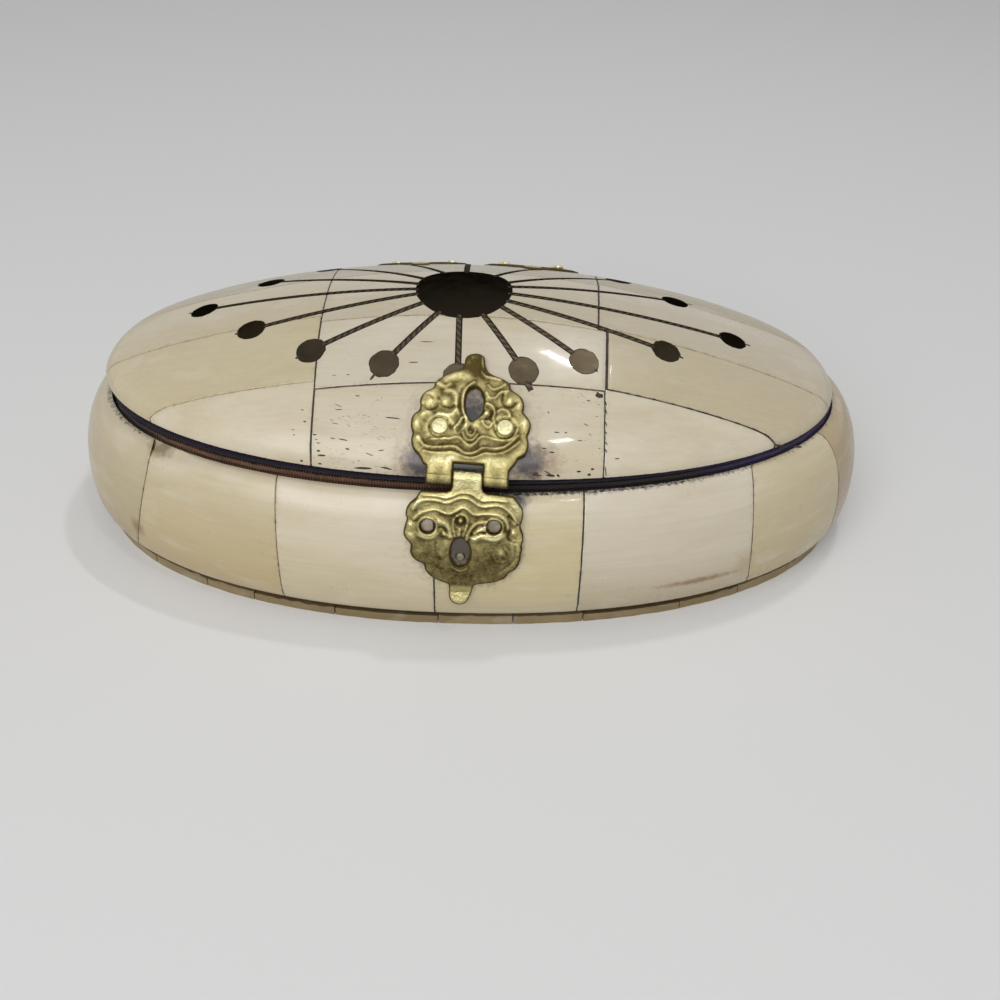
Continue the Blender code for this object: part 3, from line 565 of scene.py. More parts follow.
def wood_material(name, cloth):
    """Sawn rosewood, unfinished: dark grain, upright saw marks, and cloth dye soaked in at the seam."""
    wood = Surface(name, Roughness=0.7)
    place = wood.place()
    figure = wood.noise(wood.vector("MULTIPLY", place, (0.04, 0.5, 0.9)), 1.0, 5.0, 0.5, 0.4)
    saw = wood.lines(wood.turned(place, (0, 0.25, 0)), 0.58, 3.0, 3.0, 1.2)
    colour = wood.mix(wood.band(figure, 0.35, 0.65), cloth.rosewood_dark, cloth.rosewood)
    colour = wood.mix(1.0, colour, wood.band(saw, 0.1, 0.9, 0.42, 1.15), blend_type="MULTIPLY")
    apart = add_node(wood.tree, "SeparateXYZ", {0: place}).outputs
    right = wood.band(wood.math("MULTIPLY_ADD", saw, 6.0, apart["X"]), -1.0, 5.0, 0.0, 0.93)
    left = wood.band(wood.math("MULTIPLY_ADD", saw, 4.0, apart["X"]), -60.0, -66.0, 0.0, 0.9)
    dye = wood.mix(wood.band(apart["X"], 44.0, 58.0), linear("#0F0C10"), linear("#33284F"))
    colour = wood.mix(wood.math("MAXIMUM", right, left), colour, dye)
    ravel = wood.noise(place, 0.7, 4.0, 0.7)
    soaked = wood.band(wood.math("MULTIPLY_ADD", ravel, 1.4, apart["Z"]), 33.2, 33.6)
    return wood.finish(wood.mix(soaked, colour, linear("#12101C")), None, saw, 0.8, 0.3)


def velvet_material(name, cloth):
    """Cotton velvet: a short dense pile that is dark face on and glows at a glancing view."""
    velvet = Surface(name, Roughness=0.9, Sheen_Weight=0.35, Sheen_Roughness=0.35,
                     Sheen_Tint=(0.55, 0.45, 0.8, 1.0))
    place = velvet.place()
    pile = velvet.noise(place, 2.2)
    share = velvet.band(velvet.math("MULTIPLY", velvet.noise(place, 0.08, 4.0), pile), 0.15, 0.36)
    colour = velvet.mix(share, [value * 0.5 for value in cloth.velvet],
                        [min(1.0, value * 2.4) for value in cloth.velvet])
    # Painted shade, with some dirt, on the lap of velvet in the seam
    colour = velvet.mix(velvet.painted("seam_shade_and_soil"), colour, linear("#100D16"))
    return velvet.finish(colour, None, pile, 0.9, 0.4)


# Bone of the lid

# Where the lid's planks meet, in plan. Each cross joint is a broken line with one straight length
# for each row of planks, and each long joint has one for each column. Widths are shares of the
# joint's width in the settings.
COLUMN_ENDS = (-90.0, -31.0, 28.0, 90.0)
ROW_ENDS = (-50.0, -26.0, -10.0, 10.0, 26.0, 50.0)
CROSS_JOINTS = (((-30.3, -30.8), (-30.9, -31.4), (-31.4, -31.5), (-31.5, -31.7), (-31.7, -32.0)),
                ((27.1, 27.6), (27.9, 28.7), (26.8, 28.0), (28.0, 28.4), (28.4, 28.9)))
CROSS_WIDTHS = ((1.1, 1.0, 0.8, 0.8, 0.8), (0.8, 1.7, 1.1, 1.0, 1.0))
LONG_JOINTS = (((-26.0, -25.2), (-26.9, -25.5), (-25.0, -28.4)),
               ((-9.2, -8.0), (-9.8, -10.3), (-9.2, -12.9)),
               ((10.0, 10.0), (10.0, 10.4), (11.2, 7.5)),
               ((26.0, 26.0), (26.0, 26.0), (26.0, 25.0)))
WIDE_LONG_JOINT = 1.9
# Colour of each plank of the lid by column and row, and how many pores it shows. The colours grow darker
# row by row from the front to the back: painted shade, where less light reaches the far slope of the dome.
LID_TONES = {(1, 1): ("#D8CCB2", 0.15), (1, 2): ("#CABC9A", 0.2), (1, 3): ("#C5B798", 0.3),
             (1, 4): ("#B9AD92", 0.3), (1, 5): ("#B2A68A", 0.3),
             (2, 1): ("#D5CAB1", 1.0), (2, 2): ("#D3C9B3", 0.5), (2, 3): ("#C5BAA1", 0.4),
             (2, 4): ("#BDB39A", 0.4), (2, 5): ("#B3A88D", 0.4),
             (3, 1): ("#D8CDB5", 0.2), (3, 2): ("#C5B899", 0.3), (3, 3): ("#C4B89F", 0.3),
             (3, 4): ("#B4A789", 0.3), (3, 5): ("#B4A98F", 0.3)}

# Colour of each plate of the side at its top, middle and bottom, and how many pores it shows. The lid's
# planks above have one colour each. The bottom colours are darker, partly from patina near the foot and
# partly as painted shade. The eighth and fourteenth plates, at the two ends, are darker throughout as
# painted shade.
SIDE_TONES = (("#D3C8AC", "#CFC3A0", "#BBAB83", 0.3), ("#CEC09A", "#C8B98F", "#B6A478", 0.4),
              ("#D8CDB4", "#D3C7AA", "#C2B48F", 0.3), ("#D0C4A2", "#CDC09B", "#BDAC80", 0.3),
              ("#D6CBB0", "#D1C5A8", "#BDAE8A", 0.5), ("#CBBC90", "#C7B788", "#B7A473", 0.3),
              ("#D7CCB2", "#D2C6A8", "#BFB08A", 0.3), ("#C9BB9C", "#BBAC87", "#A28D65", 0.35),
              ("#D2C5A8", "#C7B68D", "#B9A377", 0.35), ("#DACEB6", "#D8CCB1", "#C6B896", 0.3),
              ("#D6CAAB", "#D0C194", "#C3B696", 0.2), ("#D7CCB8", "#D3C8B2", "#B2A383", 0.4),
              ("#CFC2A2", "#CABB96", "#B9A880", 0.4), ("#B29E77", "#A99370", "#957F5C", 0.45))


def lid_shell():
    """The dome's outer surface with its upright rim, as one open sheet."""
    profile = dome_profile(LID_HALF_LENGTH, 34)
    profile += [(LID_HALF_LENGTH, height) for height in (34.8, 34.55, 34.4, LID_BONE_EDGE)]
    return oval_spin(profile, lambda out: out * LID_HALF_DEPTH / LID_HALF_LENGTH, steps=288)


def wear_edges(bm, sink):
    """Round a plate's open edges down a little and make them slightly uneven, as hand-filed bone is."""
    bm.normal_update()
    for corner in bm.verts:
        if corner.is_boundary:
            shake = noise.noise_vector(corner.co * 0.8) * UNEVEN
            shake -= corner.normal * shake.dot(corner.normal)
            corner.co += shake - corner.normal * sink


def finish_bone(item, plane, tone, pores, bled):
    """Paint what the bone material reads: grain position, colour, pores and dye."""
    points = points_mm(item)
    count = len(points)
    paint(item, "grain", [plane(point) for point in points], "FLOAT_VECTOR")
    paint(item, "tone", [rgba(tone(point)) for point in points], "FLOAT_COLOR")
    paint(item, "pores", [pores] * count)
    paint(item, "bled", [bled(point) for point in points])


def plank_walls(column, row):
    """Straight joints round one plank: two ends, the way out of the plank, and the gap's width."""
    walls = []
    rows = ROW_ENDS[row:row + 2]
    ends = COLUMN_ENDS[column:column + 2]
    for number, way in ((column - 1, -1), (column, 1)):
        if 0 <= number < 2:
            low, high = CROSS_JOINTS[number][row]
            walls.append((Vector((low, rows[0], 0)), Vector((high, rows[1], 0)), Vector((way, 0, 0)),
                          CROSS_WIDTHS[number][row], True))
    for number, way in ((row - 1, -1), (row, 1)):
        if 0 <= number < 4:
            low, high = LONG_JOINTS[number][column]
            walls.append((Vector((ends[0], low, 0)), Vector((ends[1], high, 0)), Vector((0, way, 0)),
                          WIDE_LONG_JOINT if number == 0 and column > 0 else 1.0, False))
    square = []
    for start, end, way, width, across in walls:
        along = (end - start).normalized()
        square.append((start, end, (way - along * way.dot(along)).normalized(), width, across))
    return square


def wall_distance(point, walls):
    """Distance in plan from a point of the lid to the nearest of some joints."""
    place = Vector((point[0], point[1], 0))
    return min(abs((place - start).dot(way)) for start, _, way, _, _ in walls)


def cut_pockets(bm, pockets):
    """Cut pockets into a plank, and try again with the other solver or a slight shift if it is lost."""
    whole = bm.calc_volume()
    for step in range(4):
        for solver in ("MANIFOLD", "EXACT"):
            cutter = pockets.copy()
            bmesh.ops.translate(cutter, vec=(0.011 * step, 0.007 * step, 0.0), verts=cutter.verts)
            cut = boolean(bm.copy(), cutter, "DIFFERENCE", solver)
            if 0.6 * whole < cut.calc_volume() < 1.001 * whole:
                bm.free()
                return cut
            cut.free()
    raise RuntimeError("a plank is lost when its pockets are cut")


class BOX_OT_lid_bone(bpy.types.Operator):
    """Saw the lid's bone into planks, let the sun's pockets into them and fill the joints"""
    bl_idname = "keepsake.lid_bone"
    bl_label = "Lid Bone"

    def execute(self, context):
        bone = context.scene.keepsake_bone
        polished = bone_material("polished_bone_lid", bone, 0.28)
        stains_and_shade = bone_material("polished_bone_lid_stains_and_shade", bone, 0.28, LID_STAINS_AND_SHADE)
        shell = lid_shell()
        pockets = [shape(*POCKET) for shape in (sun_disc, sun_dots, sun_strips)]
        for column in range(3):
            for row in range(5):
                bm = shell.copy()
                walls = plank_walls(column, row)
                for start, end, way, width, across in walls:
                    half = (bone.cross_joint if across else bone.lid_joint) * width / 2
                    slice_plane(bm, start - way * half, way, drop=True)
                for start, end, way, width, across in walls:
                    for inward in LID_EDGE_LOOPS:
                        slice_plane(bm, start - way * inward, way)
                bmesh.ops.remove_doubles(bm, verts=bm.verts, dist=WELD)
                wear_edges(bm, bone.edge_wear)
                thicken(bm, BONE)
                for pocket in pockets:
                    if meets(bm, pocket):
                        bm = cut_pockets(bm, pocket)
                tone, pores = LID_TONES[(column + 1, row + 1)]
                node = "lid_tile_%d_%d" % (column + 1, row + 1)
                material = stains_and_shade if (column, row) in ((1, 0), (1, 1)) else polished
                tile = piece("bone_" + node, bm, material, "lid", [node])
                shift = Vector((37.0 * column, 23.0 * row, 11.0 * column))
                finish_bone(tile, lambda point: Vector(point) + shift, lambda point: linear(tone), pores,
                            lambda point: 0.7 * max(0.0, 1.0 - (point[2] - LID_BONE_EDGE) / 0.35))
                paint(tile, "edge", [joint_dirt(wall_distance(point, walls)) for point in points_mm(tile)])
                settle(tile)
        shell.free()
        for pocket in pockets:
            pocket.free()
        dark = filler_material("black_wax", "#16120E", "#3A3024")
        pale = filler_material("bone_glue", "#B09D74", "#4A3A28", (0.53, 0.68))
        cross, length, tarred = [], [], []
        for column in range(3):
            for row in range(5):
                for start, end, way, width, across in plank_walls(column, row):
                    if way.x + way.y < 0:
                        continue
                    size = (bone.cross_joint if across else bone.lid_joint) * width - 0.01
                    strip = dome_ribbon(start.xy, end.xy, size, -0.08 if across else -0.04, 1.1)
                    dirty = row == 0 and column > 0
                    (cross if across else tarred if dirty else length).append(strip)
        settle(piece("lid_cross_joints", join(cross), dark, "lid"))
        settle(piece("lid_long_joints", join(length), pale, "lid"))
        settle(piece("lid_front_joints", join(tarred), filler_material("dark_glue", "#1C1813", "#6B5A40"),
                     "lid"))
        ticks = [sliver(start, end, width) for start, end, width in lid_ticks()]
        settle(piece("lid_ticks", join(ticks), dark, "lid"))
        return {"FINISHED"}


# Where a corner of the ninth side plate, at the seam, is chipped off
CHIP_PLACE = (-61.3, -28.3, 31.4)
CHIP_NORMAL = (-0.269, -0.399, 0.875)

# Stains on the lid's bone and on the side's, and some patches of painted shade: middle, reach, colour and
# strength
# The first lid spot is a painted shadow round the latch plate.
LID_STAINS_AND_SHADE = (((0.0, -33.5, 41.5), (14.2, 11.5, 14.0), "#7F6C4D", 0.5),
              ((13.2, -39.6, 37.6), (5.6, 5.0, 4.6), "#7E5C3C", 0.7),
              ((11.3, -39.6, 37.4), (4.0, 5.2, 4.4), "#35292A", 1.0),
              ((-11.4, -40.0, 37.4), (5.0, 5.0, 4.8), "#7E5C3C", 0.55),
              ((-9.6, -40.0, 37.0), (4.6, 5.2, 4.6), "#3A2D2C", 1.0),
              # Painted shade on the bone seen through the latch plate's keyhole and slot
              ((0.2, -33.5, 41.5), (7.0, 10.5, 14.0), "#2C2424", 1.0),
              ((0.2, -40.6, 37.0), (6.5, 4.0, 3.0), "#2A2426", 1.0))
# The first side spot is painted shade on the bone seen through the flap's keyhole and nail holes, and
# under the flap's edges.
SIDE_STAINS_AND_SHADE = (((-0.6, -46.5, 22.5), (11.5, 9.0, 10.5), "#4A3F34", 1.0),
               ((9.8, -42.8, 30.6), (2.8, 2.6, 1.5), "#2E2624", 1.0),
               ((48.0, -42.4, 10.2), (12.0, 7.0, 1.0), "#8A6742", 0.85),
               ((58.0, -38.6, 11.5), (3.0, 5.0, 4.0), "#A88C60", 0.4),
               ((-71.6, -31.2, 12.0), (2.4, 3.0, 2.6), "#7A5E3C", 0.7),
               ((-63.9, -28.0, 30.6), (3.8, 3.2, 2.2), "#8F7A59", 1.0))

# Torn pores and chips in the front middle plank of the lid, as start and end in plan
TORN_PORES = (((-26.4, -30.2), (-24.8, -30.9)), ((-26.2, -31.3), (-24.7, -31.4)),
              ((-22.4, -28.8), (-21.4, -28.9)), ((-16.1, -33.1), (-13.1, -33.4)),
              ((-26.7, -33.7), (-25.3, -34.0)), ((-26.7, -36.3), (-25.7, -36.5)),
              ((-25.1, -36.5), (-23.2, -36.9)), ((-23.6, -38.1), (-22.8, -38.3)),
              ((-19.6, -38.9), (-18.0, -39.4)), ((-17.1, -38.7), (-15.9, -38.6)),
              ((-29.1, -38.5), (-27.5, -38.7)), ((-30.3, -35.5), (-29.5, -35.6)),
              ((-29.8, -36.3), (-29.2, -36.4)), ((-29.4, -36.9), (-28.6, -37.0)),
              ((-29.1, -39.2), (-28.3, -39.3)), ((-29.3, -38.0), (-28.6, -38.1)),
              ((-16.6, -40.5), (-14.3, -40.8)), ((-21.8, -40.2), (-18.3, -40.5)),
              ((-33.1, -30.8), (-32.5, -31.0)), ((-32.4, -33.0), (-31.8, -33.2)),
              ((-34.6, -34.3), (-34.0, -34.4)), ((-34.3, -35.2), (-33.8, -35.3)),
              ((-32.7, -38.5), (-32.1, -38.6)), ((24.0, -27.9), (24.6, -28.0)),
              ((25.6, -30.8), (26.1, -30.9)), ((23.2, -32.5), (24.2, -32.8)),
              ((17.3, -34.6), (18.4, -34.6)), ((19.4, -34.5), (19.9, -34.5)),
              ((24.2, -34.2), (24.8, -34.5)), ((22.0, -35.6), (22.9, -35.6)),
              ((14.9, -37.5), (15.9, -37.5)), ((16.4, -38.0), (17.5, -38.0)),
              ((26.1, -36.5), (26.6, -36.5)), ((21.9, -39.9), (22.8, -39.8)),
              ((24.7, -39.4), (25.4, -39.3)), ((24.1, -39.9), (24.8, -39.8)),
              ((15.4, -40.4), (16.9, -40.6)), ((15.9, -40.7), (17.7, -40.6)),
              ((18.0, -40.5), (18.7, -40.6)), ((13.3, -40.8), (14.4, -40.7)),
              ((12.9, -40.9), (15.0, -40.8)), ((29.4, -37.7), (30.4, -37.5)),
              ((-10.1, -17.1), (-7.4, -17.2)), ((-12.1, -22.0), (-10.2, -22.0)),
              ((-27.4, -24.2), (-26.6, -24.3)), ((-24.5, -24.3), (-23.9, -24.3)),
              ((16.0, -30.9), (16.3, -31.3)))


def lid_ticks():
    """Dark chips and torn pores in the lid's bone, as start, end and width in plan."""
    ticks = [(start, end, 0.1 + 0.035 * (number % 4)) for number, (start, end) in enumerate(TORN_PORES)]
    for number in range(14):
        wander = noise.noise_vector(Vector((number * 2.3, 4.5, 1.0)))
        x, y = 26.3 + 1.6 * wander.x, -26.6 + 1.2 * wander.y
        ticks.append(((x - 0.35, y), (x + 0.4 + 0.3 * wander.z, y + 0.3 * wander.x),
                      0.5 + 0.4 * abs(wander.z)))
    for number in range(12):
        wander = noise.noise_vector(Vector((number * 1.7, 9.5, 3.0)))
        x = 31.0 + 3.3 * number + wander.x
        y = -25.0 - (x - 28.0) * 0.055 + 0.1 * wander.y
        ticks.append(((x, y), (x + 1.4 + wander.z, y - 0.03), 0.3))
    for number in range(7):
        wander = noise.noise_vector(Vector((number * 2.9, 2.5, 8.0)))
        y = -27.5 - 1.9 * number + wander.y
        ticks.append(((27.5 + 0.3 * wander.x, y), (27.9 + 0.2 * wander.z, y - 0.7 - 0.5 * wander.x), 0.2))
    for (x, y), _ in SUN_RAYS:
        out = (Vector((x, y)) - Vector((SUN_X, SUN_Y))).normalized()
        start = Vector((x, y)) + out * (DOT_RADIUS - 0.3)
        ticks.append((tuple(start), tuple(start + out * (1.3 + 0.5 * math.sin(x))), 0.55))
    return ticks


def sliver(start, end, width):
    """A thin dark sliver that tapers to both ends, pressed into the lid's bone."""
    bm = flat_strip(start, end, width, 6)
    middle = (Vector(start) + Vector(end)) / 2
    half = (Vector(end) - Vector(start)).length / 2
    along = (Vector(end) - Vector(start)).normalized()
    for corner in bm.verts:
        away = corner.co.xy - middle
        run = away.dot(along)
        corner.co.xy = middle + along * run + (away - along * run) * max(1 - (run / half) ** 4, 0.15)
    return lay_on_dome(bm, 0.015, 0.3)


def joint_dirt(distance):
    return math.exp(-max(distance - 0.08, 0.0) / 0.25)


def meets(first, second):
    """Whether the boxes round two meshes overlap."""
    for axis in range(3):
        one = [corner.co[axis] for corner in first.verts]
        other = [corner.co[axis] for corner in second.verts]
        if max(one) < min(other) or max(other) < min(one):
            return False
    return True


def lay_on_dome(bm, rise, depth):
    """Lift a flat shape onto the lid's bone and give it thickness inwards."""
    for corner in bm.verts:
        corner.co = dome_point(corner.co.x, corner.co.y, rise)
    bmesh.ops.recalc_face_normals(bm, faces=bm.faces)
    if sum(face.normal.z for face in bm.faces) < 0:
        bmesh.ops.reverse_faces(bm, faces=bm.faces)
    thicken(bm, depth)
    return bm


def flat_strip(start, end, width, pieces, lanes=1):
    """A flat band between two places in plan."""
    start, end = Vector(start), Vector(end)
    along = end - start
    bm = bmesh.new()
    bmesh.ops.create_grid(bm, x_segments=pieces, y_segments=lanes, size=0.5)
    bmesh.ops.scale(bm, vec=(along.length, width, 1.0), verts=bm.verts)
    turn = Matrix.Rotation(math.atan2(along.y, along.x), 3, "Z")
    bmesh.ops.rotate(bm, cent=(0, 0, 0), matrix=turn, verts=bm.verts)
    bmesh.ops.translate(bm, vec=((start + end) / 2).to_3d(), verts=bm.verts)
    return bm


def dome_ribbon(start, end, width, rise, depth):
    """A joint's filling along a straight line in plan, as far as the bone reaches."""
    bm = flat_strip(start, end, width, 120)
    outside = [corner for corner in bm.verts if lid_reach(corner.co.x, corner.co.y) > 0.998]
    bmesh.ops.delete(bm, geom=outside, context="VERTS")
    return lay_on_dome(bm, rise, depth)


# Sun

# The sun's rays in plan, from the front round by the right: the middle of each dot, and where its strip
# leaves the disc
SUN_RAYS = (((-2.1, -25.1), (-2.4, -10.7)), ((11.1, -22.9), (2.8, -10.1)),
            ((23.5, -19.3), (7.0, -7.4)), ((41.1, -12.6), (8.1, -5.1)), ((57.1, -2.3), (8.5, -2.2)),
            ((45.7, 10.6), (8.5, 0.9)), ((33.5, 20.7), (8.3, 3.2)), ((18.6, 27.0), (5.2, 7.1)),
            ((-1.7, 30.5), (-1.5, 9.6)), ((-19.0, 26.3), (-6.5, 8.4)),
            ((-34.0, 22.0), (-11.2, 4.4)), ((-46.4, 14.4), (-12.2, 1.5)),
            ((-59.5, 3.7), (-12.3, -1.0)), ((-46.4, -9.1), (-12.2, -3.1)),
            ((-32.5, -17.8), (-10.8, -6.6)), ((-17.1, -22.1), (-6.9, -9.6)))
SUN_TAIL = ((12.7, -27.1), (11.6, -25.3))
TAIL_WIDTH = 0.9
# How far each dot's oxide is worn through, in the order of the rays; the front dots are set lighter partly
# as painted light, where they face the lamps.
DOT_WEAR_AND_LIGHT = (0.3, 0.16, 0.3, 0.02, 0.0, 0.0, 0.0, 0.05, 0.0, 0.0, 0.0, 0.02, 0.02, 0.03, 0.06, 0.15)


def flat_round(place, radius, sides, rings):
    """A flat disc with rings inside it, so that it can follow the dome."""
    bm = bmesh.new()
    spoke = [bm.verts.new((radius * ring / rings, 0.0, 0.0)) for ring in range(rings + 1)]
    edges = [bm.edges.new(pair) for pair in zip(spoke, spoke[1:])]
    bmesh.ops.spin(bm, geom=spoke + edges, cent=(0, 0, 0), axis=(0, 0, 1), angle=2 * math.pi, steps=sides,
                   use_merge=True, use_duplicate=False)
    bmesh.ops.remove_doubles(bm, verts=bm.verts, dist=1e-4)
    bmesh.ops.translate(bm, vec=(place[0], place[1], 0.0), verts=bm.verts)
    return bm


def hand_cut(bm, amount):
    """Let an inlay's outline wander a little, as a pocket cut by hand does."""
    for corner in [corner for corner in bm.verts if corner.is_boundary]:
        shake = noise.noise_vector(corner.co * 0.9) * amount
        corner.co.x += shake.x
        corner.co.y += shake.y
    return bm


def sun_disc(clearance, rise, depth):
    flat = hand_cut(flat_round((SUN_X, SUN_Y), DISC_RADIUS + clearance, 96, 6), clearance * 0.8)
    return lay_on_dome(flat, rise, depth)


def sun_dots(clearance, rise, depth):
    flats = [hand_cut(flat_round(dot, DOT_RADIUS + clearance, 40, 3), clearance * 1.2)
             for dot, _ in SUN_RAYS]
    return join([lay_on_dome(flat, rise, depth) for flat in flats])


def sun_strips(clearance, rise, depth):
    flats = []
    for dot, root in SUN_RAYS:
        dot, root = Vector(dot), Vector(root)
        inner = root + (Vector((SUN_X, SUN_Y)) - root).normalized() * 0.8
        outer = dot + (root - dot).normalized() * (DOT_RADIUS - 0.3)
        flats.append(flat_strip(inner, outer, RAY_WIDTH + 2 * clearance, 24, 4))
    flats.append(flat_strip(SUN_TAIL[1], SUN_TAIL[0], TAIL_WIDTH + 2 * clearance, 4, 4))
    return join([lay_on_dome(flat, rise, depth) for flat in flats])


class BOX_OT_sun(bpy.types.Operator):
    """Set the sun's brass disc, strips and dots in the lid, bedded in dark wax"""
    bl_idname = "keepsake.sun"
    bl_label = "Sun"

    def execute(self, context):
        brass = context.scene.keepsake_brass
        disc = piece("sun_disc", sun_disc(*INLAY),
                     inlay_material("tarnished_brass_disc", brass.disc, 0.5, 0.35),
                     "lid", ["sunburst_inlay"])
        paint(disc, "wear", [0.9] * len(disc.data.vertices))
        dots = piece("sun_dots", sun_dots(*INLAY),
                     inlay_material("tarnished_brass_dots", brass.dots, 0.36, 0.12), "lid")
        paint(dots, "wear", [DOT_WEAR_AND_LIGHT[nearest_ray(point)] for point in points_mm(dots)])
        strips = piece("sun_strips", sun_strips(*INLAY),
                       strip_material("scored_brass_strips", "#574E40"), "lid")
        paint(strips, "across", [strip_place(point) for point in points_mm(strips)], "FLOAT_VECTOR")
        wax = filler_material("sun_wax", "#0D0B09", "#1E1914")
        bed = piece("sun_wax", join([sun_disc(*WAX), sun_dots(*WAX), sun_strips(*STRIP_WAX)]), wax, "lid")
        for item in (disc, dots, strips, bed):
            settle(item)
        return {"FINISHED"}


def nearest_ray(point):
    return min(range(len(SUN_RAYS)), key=lambda ray: math.dist(SUN_RAYS[ray][0], point[:2]))


def strip_place(point):
    """How far along its strip and how far off the strip's middle a point lies."""
    best = None
    for dot, root in SUN_RAYS + (SUN_TAIL,):
        dot, root = Vector(dot), Vector(root)
        along = (dot - root).normalized()
        away = Vector(point[:2]) - root
        run = away.dot(along)
        aside = (away - along * run).dot(Vector((-along.y, along.x)))
        if -2.5 < run < (dot - root).length + 0.1 and (best is None or abs(aside) < abs(best[1])):
            best = (run, aside, 0.0)
    return best or (0.0, 0.0, 0.0)


# Bone of the side and the foot

def side_depth(out):
    """Half the depth of the side's oval whose half length is given."""
    return out - NARROWER


def side_heights(low, high, count):
    return [low + (high - low) * (1 - math.cos(math.pi * step / count)) / 2 for step in range(count + 1)]


def side_speed(angle):
    """How far the widest outline runs, in millimetres, for each radian of its angle."""
    x, y = oval_point(BODY_LENGTH / 2, BODY_DEPTH / 2, angle)
    near_x, near_y = oval_point(BODY_LENGTH / 2, BODY_DEPTH / 2, angle + 0.001)
    return math.hypot(near_x - x, near_y - y) / 0.001


def side_distances():
    """Distance round the widest outline at each quarter degree, for the bone's grain."""
    total, table = 0.0, [0.0]
    for step in range(1440):
        angle = math.radians(step / 4)
        total += side_speed(angle) * math.radians(0.25)
        table.append(total)
    return table


class BOX_OT_side_bone(bpy.types.Operator):
    """Clad the side in bone plates and fill the joints between them"""
    bl_idname = "keepsake.side_bone"
    bl_label = "Side Bone"

    def execute(self, context):
        bone = context.scene.keepsake_bone
        polished = bone_material("polished_bone_side", bone, 0.28, SIDE_STAINS_AND_SHADE)
        distances = side_distances()
        heights = side_heights(SIDE_BONE_BOTTOM, SIDE_BONE_TOP, 30)
        heights = sorted(set(heights + [SIDE_BONE_TOP - 0.15, SIDE_BONE_BOTTOM + 0.15]))
        profile = [(BODY_LENGTH / 2 - side_inset(height), height) for height in heights]
        walls = [side_wall(math.radians(angle), math.radians(heading), lean)
                 for angle, heading, lean in SIDE_JOINTS]
        gaps = [bone.side_joint * (DARK_JOINT_SHARE if number in DARK_SIDE_JOINTS else 1.0)
                for number in range(len(walls))]

        def grain(point):
            angle = math.degrees(side_angle(point)) % 360
            return (distances[int(angle * 4)], point[2] * 1.3, 0.0)

        for number in range(1, len(walls) + 1):
            (start, low, before), (end, high, after) = walls[number - 1], walls[number % len(walls)]
            end += 2 * math.pi if end < start else 0.0
            steps = math.ceil((end - start + 2 * SPARE) / math.radians(1.25))
            bm = oval_spin(profile, side_depth, start - SPARE, end + SPARE, steps)
            for place, way, gap in ((low, -before, gaps[number - 1]),
                                    (high, after, gaps[number % len(walls)])):
                slice_plane(bm, place - way * gap / 2, way, drop=True)
                for inward in SIDE_EDGE_LOOPS:
                    slice_plane(bm, place - way * (gap / 2 + inward), way)
            if number == CHIPPED_PLATE:
                chip_off(bm)
            bmesh.ops.remove_doubles(bm, verts=bm.verts, dist=WELD)
            wear_edges(bm, bone.edge_wear)
            outwards(bm)
            thicken(bm, BONE)
            node = "side_panel_%02d" % number
            tones, pores = SIDE_TONES[number - 1][:3], SIDE_TONES[number - 1][3]
            plate = piece("bone_" + node, bm, polished, "box", [node])
            shift = Vector((0, 9.0 * number, 5.0 * number))
            finish_bone(plate, lambda point: Vector(grain(point)) + shift,
                        lambda point: side_tone(point, tones), pores, seam_dye)
            # Dirt darkens each plate beside its joints, and painted shade darkens it along its bottom
            # edge, in the gap above the foot.
            paint(plate, "edge", [joint_dirt(min(abs((Vector(point) - low).dot(before)),
                                                 abs((Vector(point) - high).dot(after))))
                                  + 1.8 * math.exp(-max(point[2] - SIDE_BONE_BOTTOM, 0.0) / 0.45)
                                  for point in points_mm(plate)])
        pale, dark = [], []
        for number, (angle, place, way) in enumerate(walls):
            bm = oval_spin([(out - 0.08, height) for out, height in profile], side_depth,
                           angle - SPARE, angle + SPARE, 14)
            for side in (-way, way):
                slice_plane(bm, place + side * (gaps[number] / 2 - 0.005), side, drop=True)
            if number == CHIPPED_PLATE - 1:
                chip_off(bm)
            outwards(bm)
            thicken(bm, 0.9)
            (dark if number in DARK_SIDE_JOINTS else pale).append(bm)
        piece("side_joints", join(pale), filler_material("side_glue", "#8D7853", "#2E2217"), "box")
        wax = filler_material("side_wax", "#17120D", "#8A7A58", (0.56, 0.66))
        piece("side_joints_dark", join(dark), wax, "box")
        return {"FINISHED"}


def side_wall(angle, heading, lean):
    """Plane of a side joint: its angle, a place on it, and its normal towards growing angles."""
    place = Vector((*oval_point(BODY_LENGTH / 2, BODY_DEPTH / 2, angle), WIDEST_HEIGHT))
    return angle, place, Vector((-math.sin(heading), math.cos(heading), lean)).normalized()


def chip_off(bm):
    """File a flat facet where a corner of the ninth plate has broken off."""
    slice_plane(bm, Vector(CHIP_PLACE), Vector(CHIP_NORMAL))
    for corner in bm.verts:
        over = (corner.co - Vector(CHIP_PLACE)).dot(Vector(CHIP_NORMAL))
        corner.co -= Vector(CHIP_NORMAL) * max(over, 0.0)


def seam_dye(point):
    """Dye that has bled over the side's upper edge: little on the left, much right of the latch."""
    share = float(np.interp(point[0], (-72.0, -60.0, -4.0, 4.0, 40.0, 60.0),
                            (0.7, 0.2, 0.25, 1.0, 0.8, 0.45)))
    return share * max(0.0, 1.0 - (SIDE_BONE_TOP - point[2]) / 0.45)


def side_tone(point, tones):
    """Colour of a side plate at a height, between its top, middle and bottom colours."""
    share = (SIDE_BONE_TOP - point[2]) / (SIDE_BONE_TOP - SIDE_BONE_BOTTOM) * 2
    first = min(int(max(share, 0.0)), 1)
    low, high = linear(tones[first]), linear(tones[first + 1])
    blend = min(max(share - first, 0.0), 1.0)
    return tuple(a + (b - a) * blend for a, b in zip(low, high))


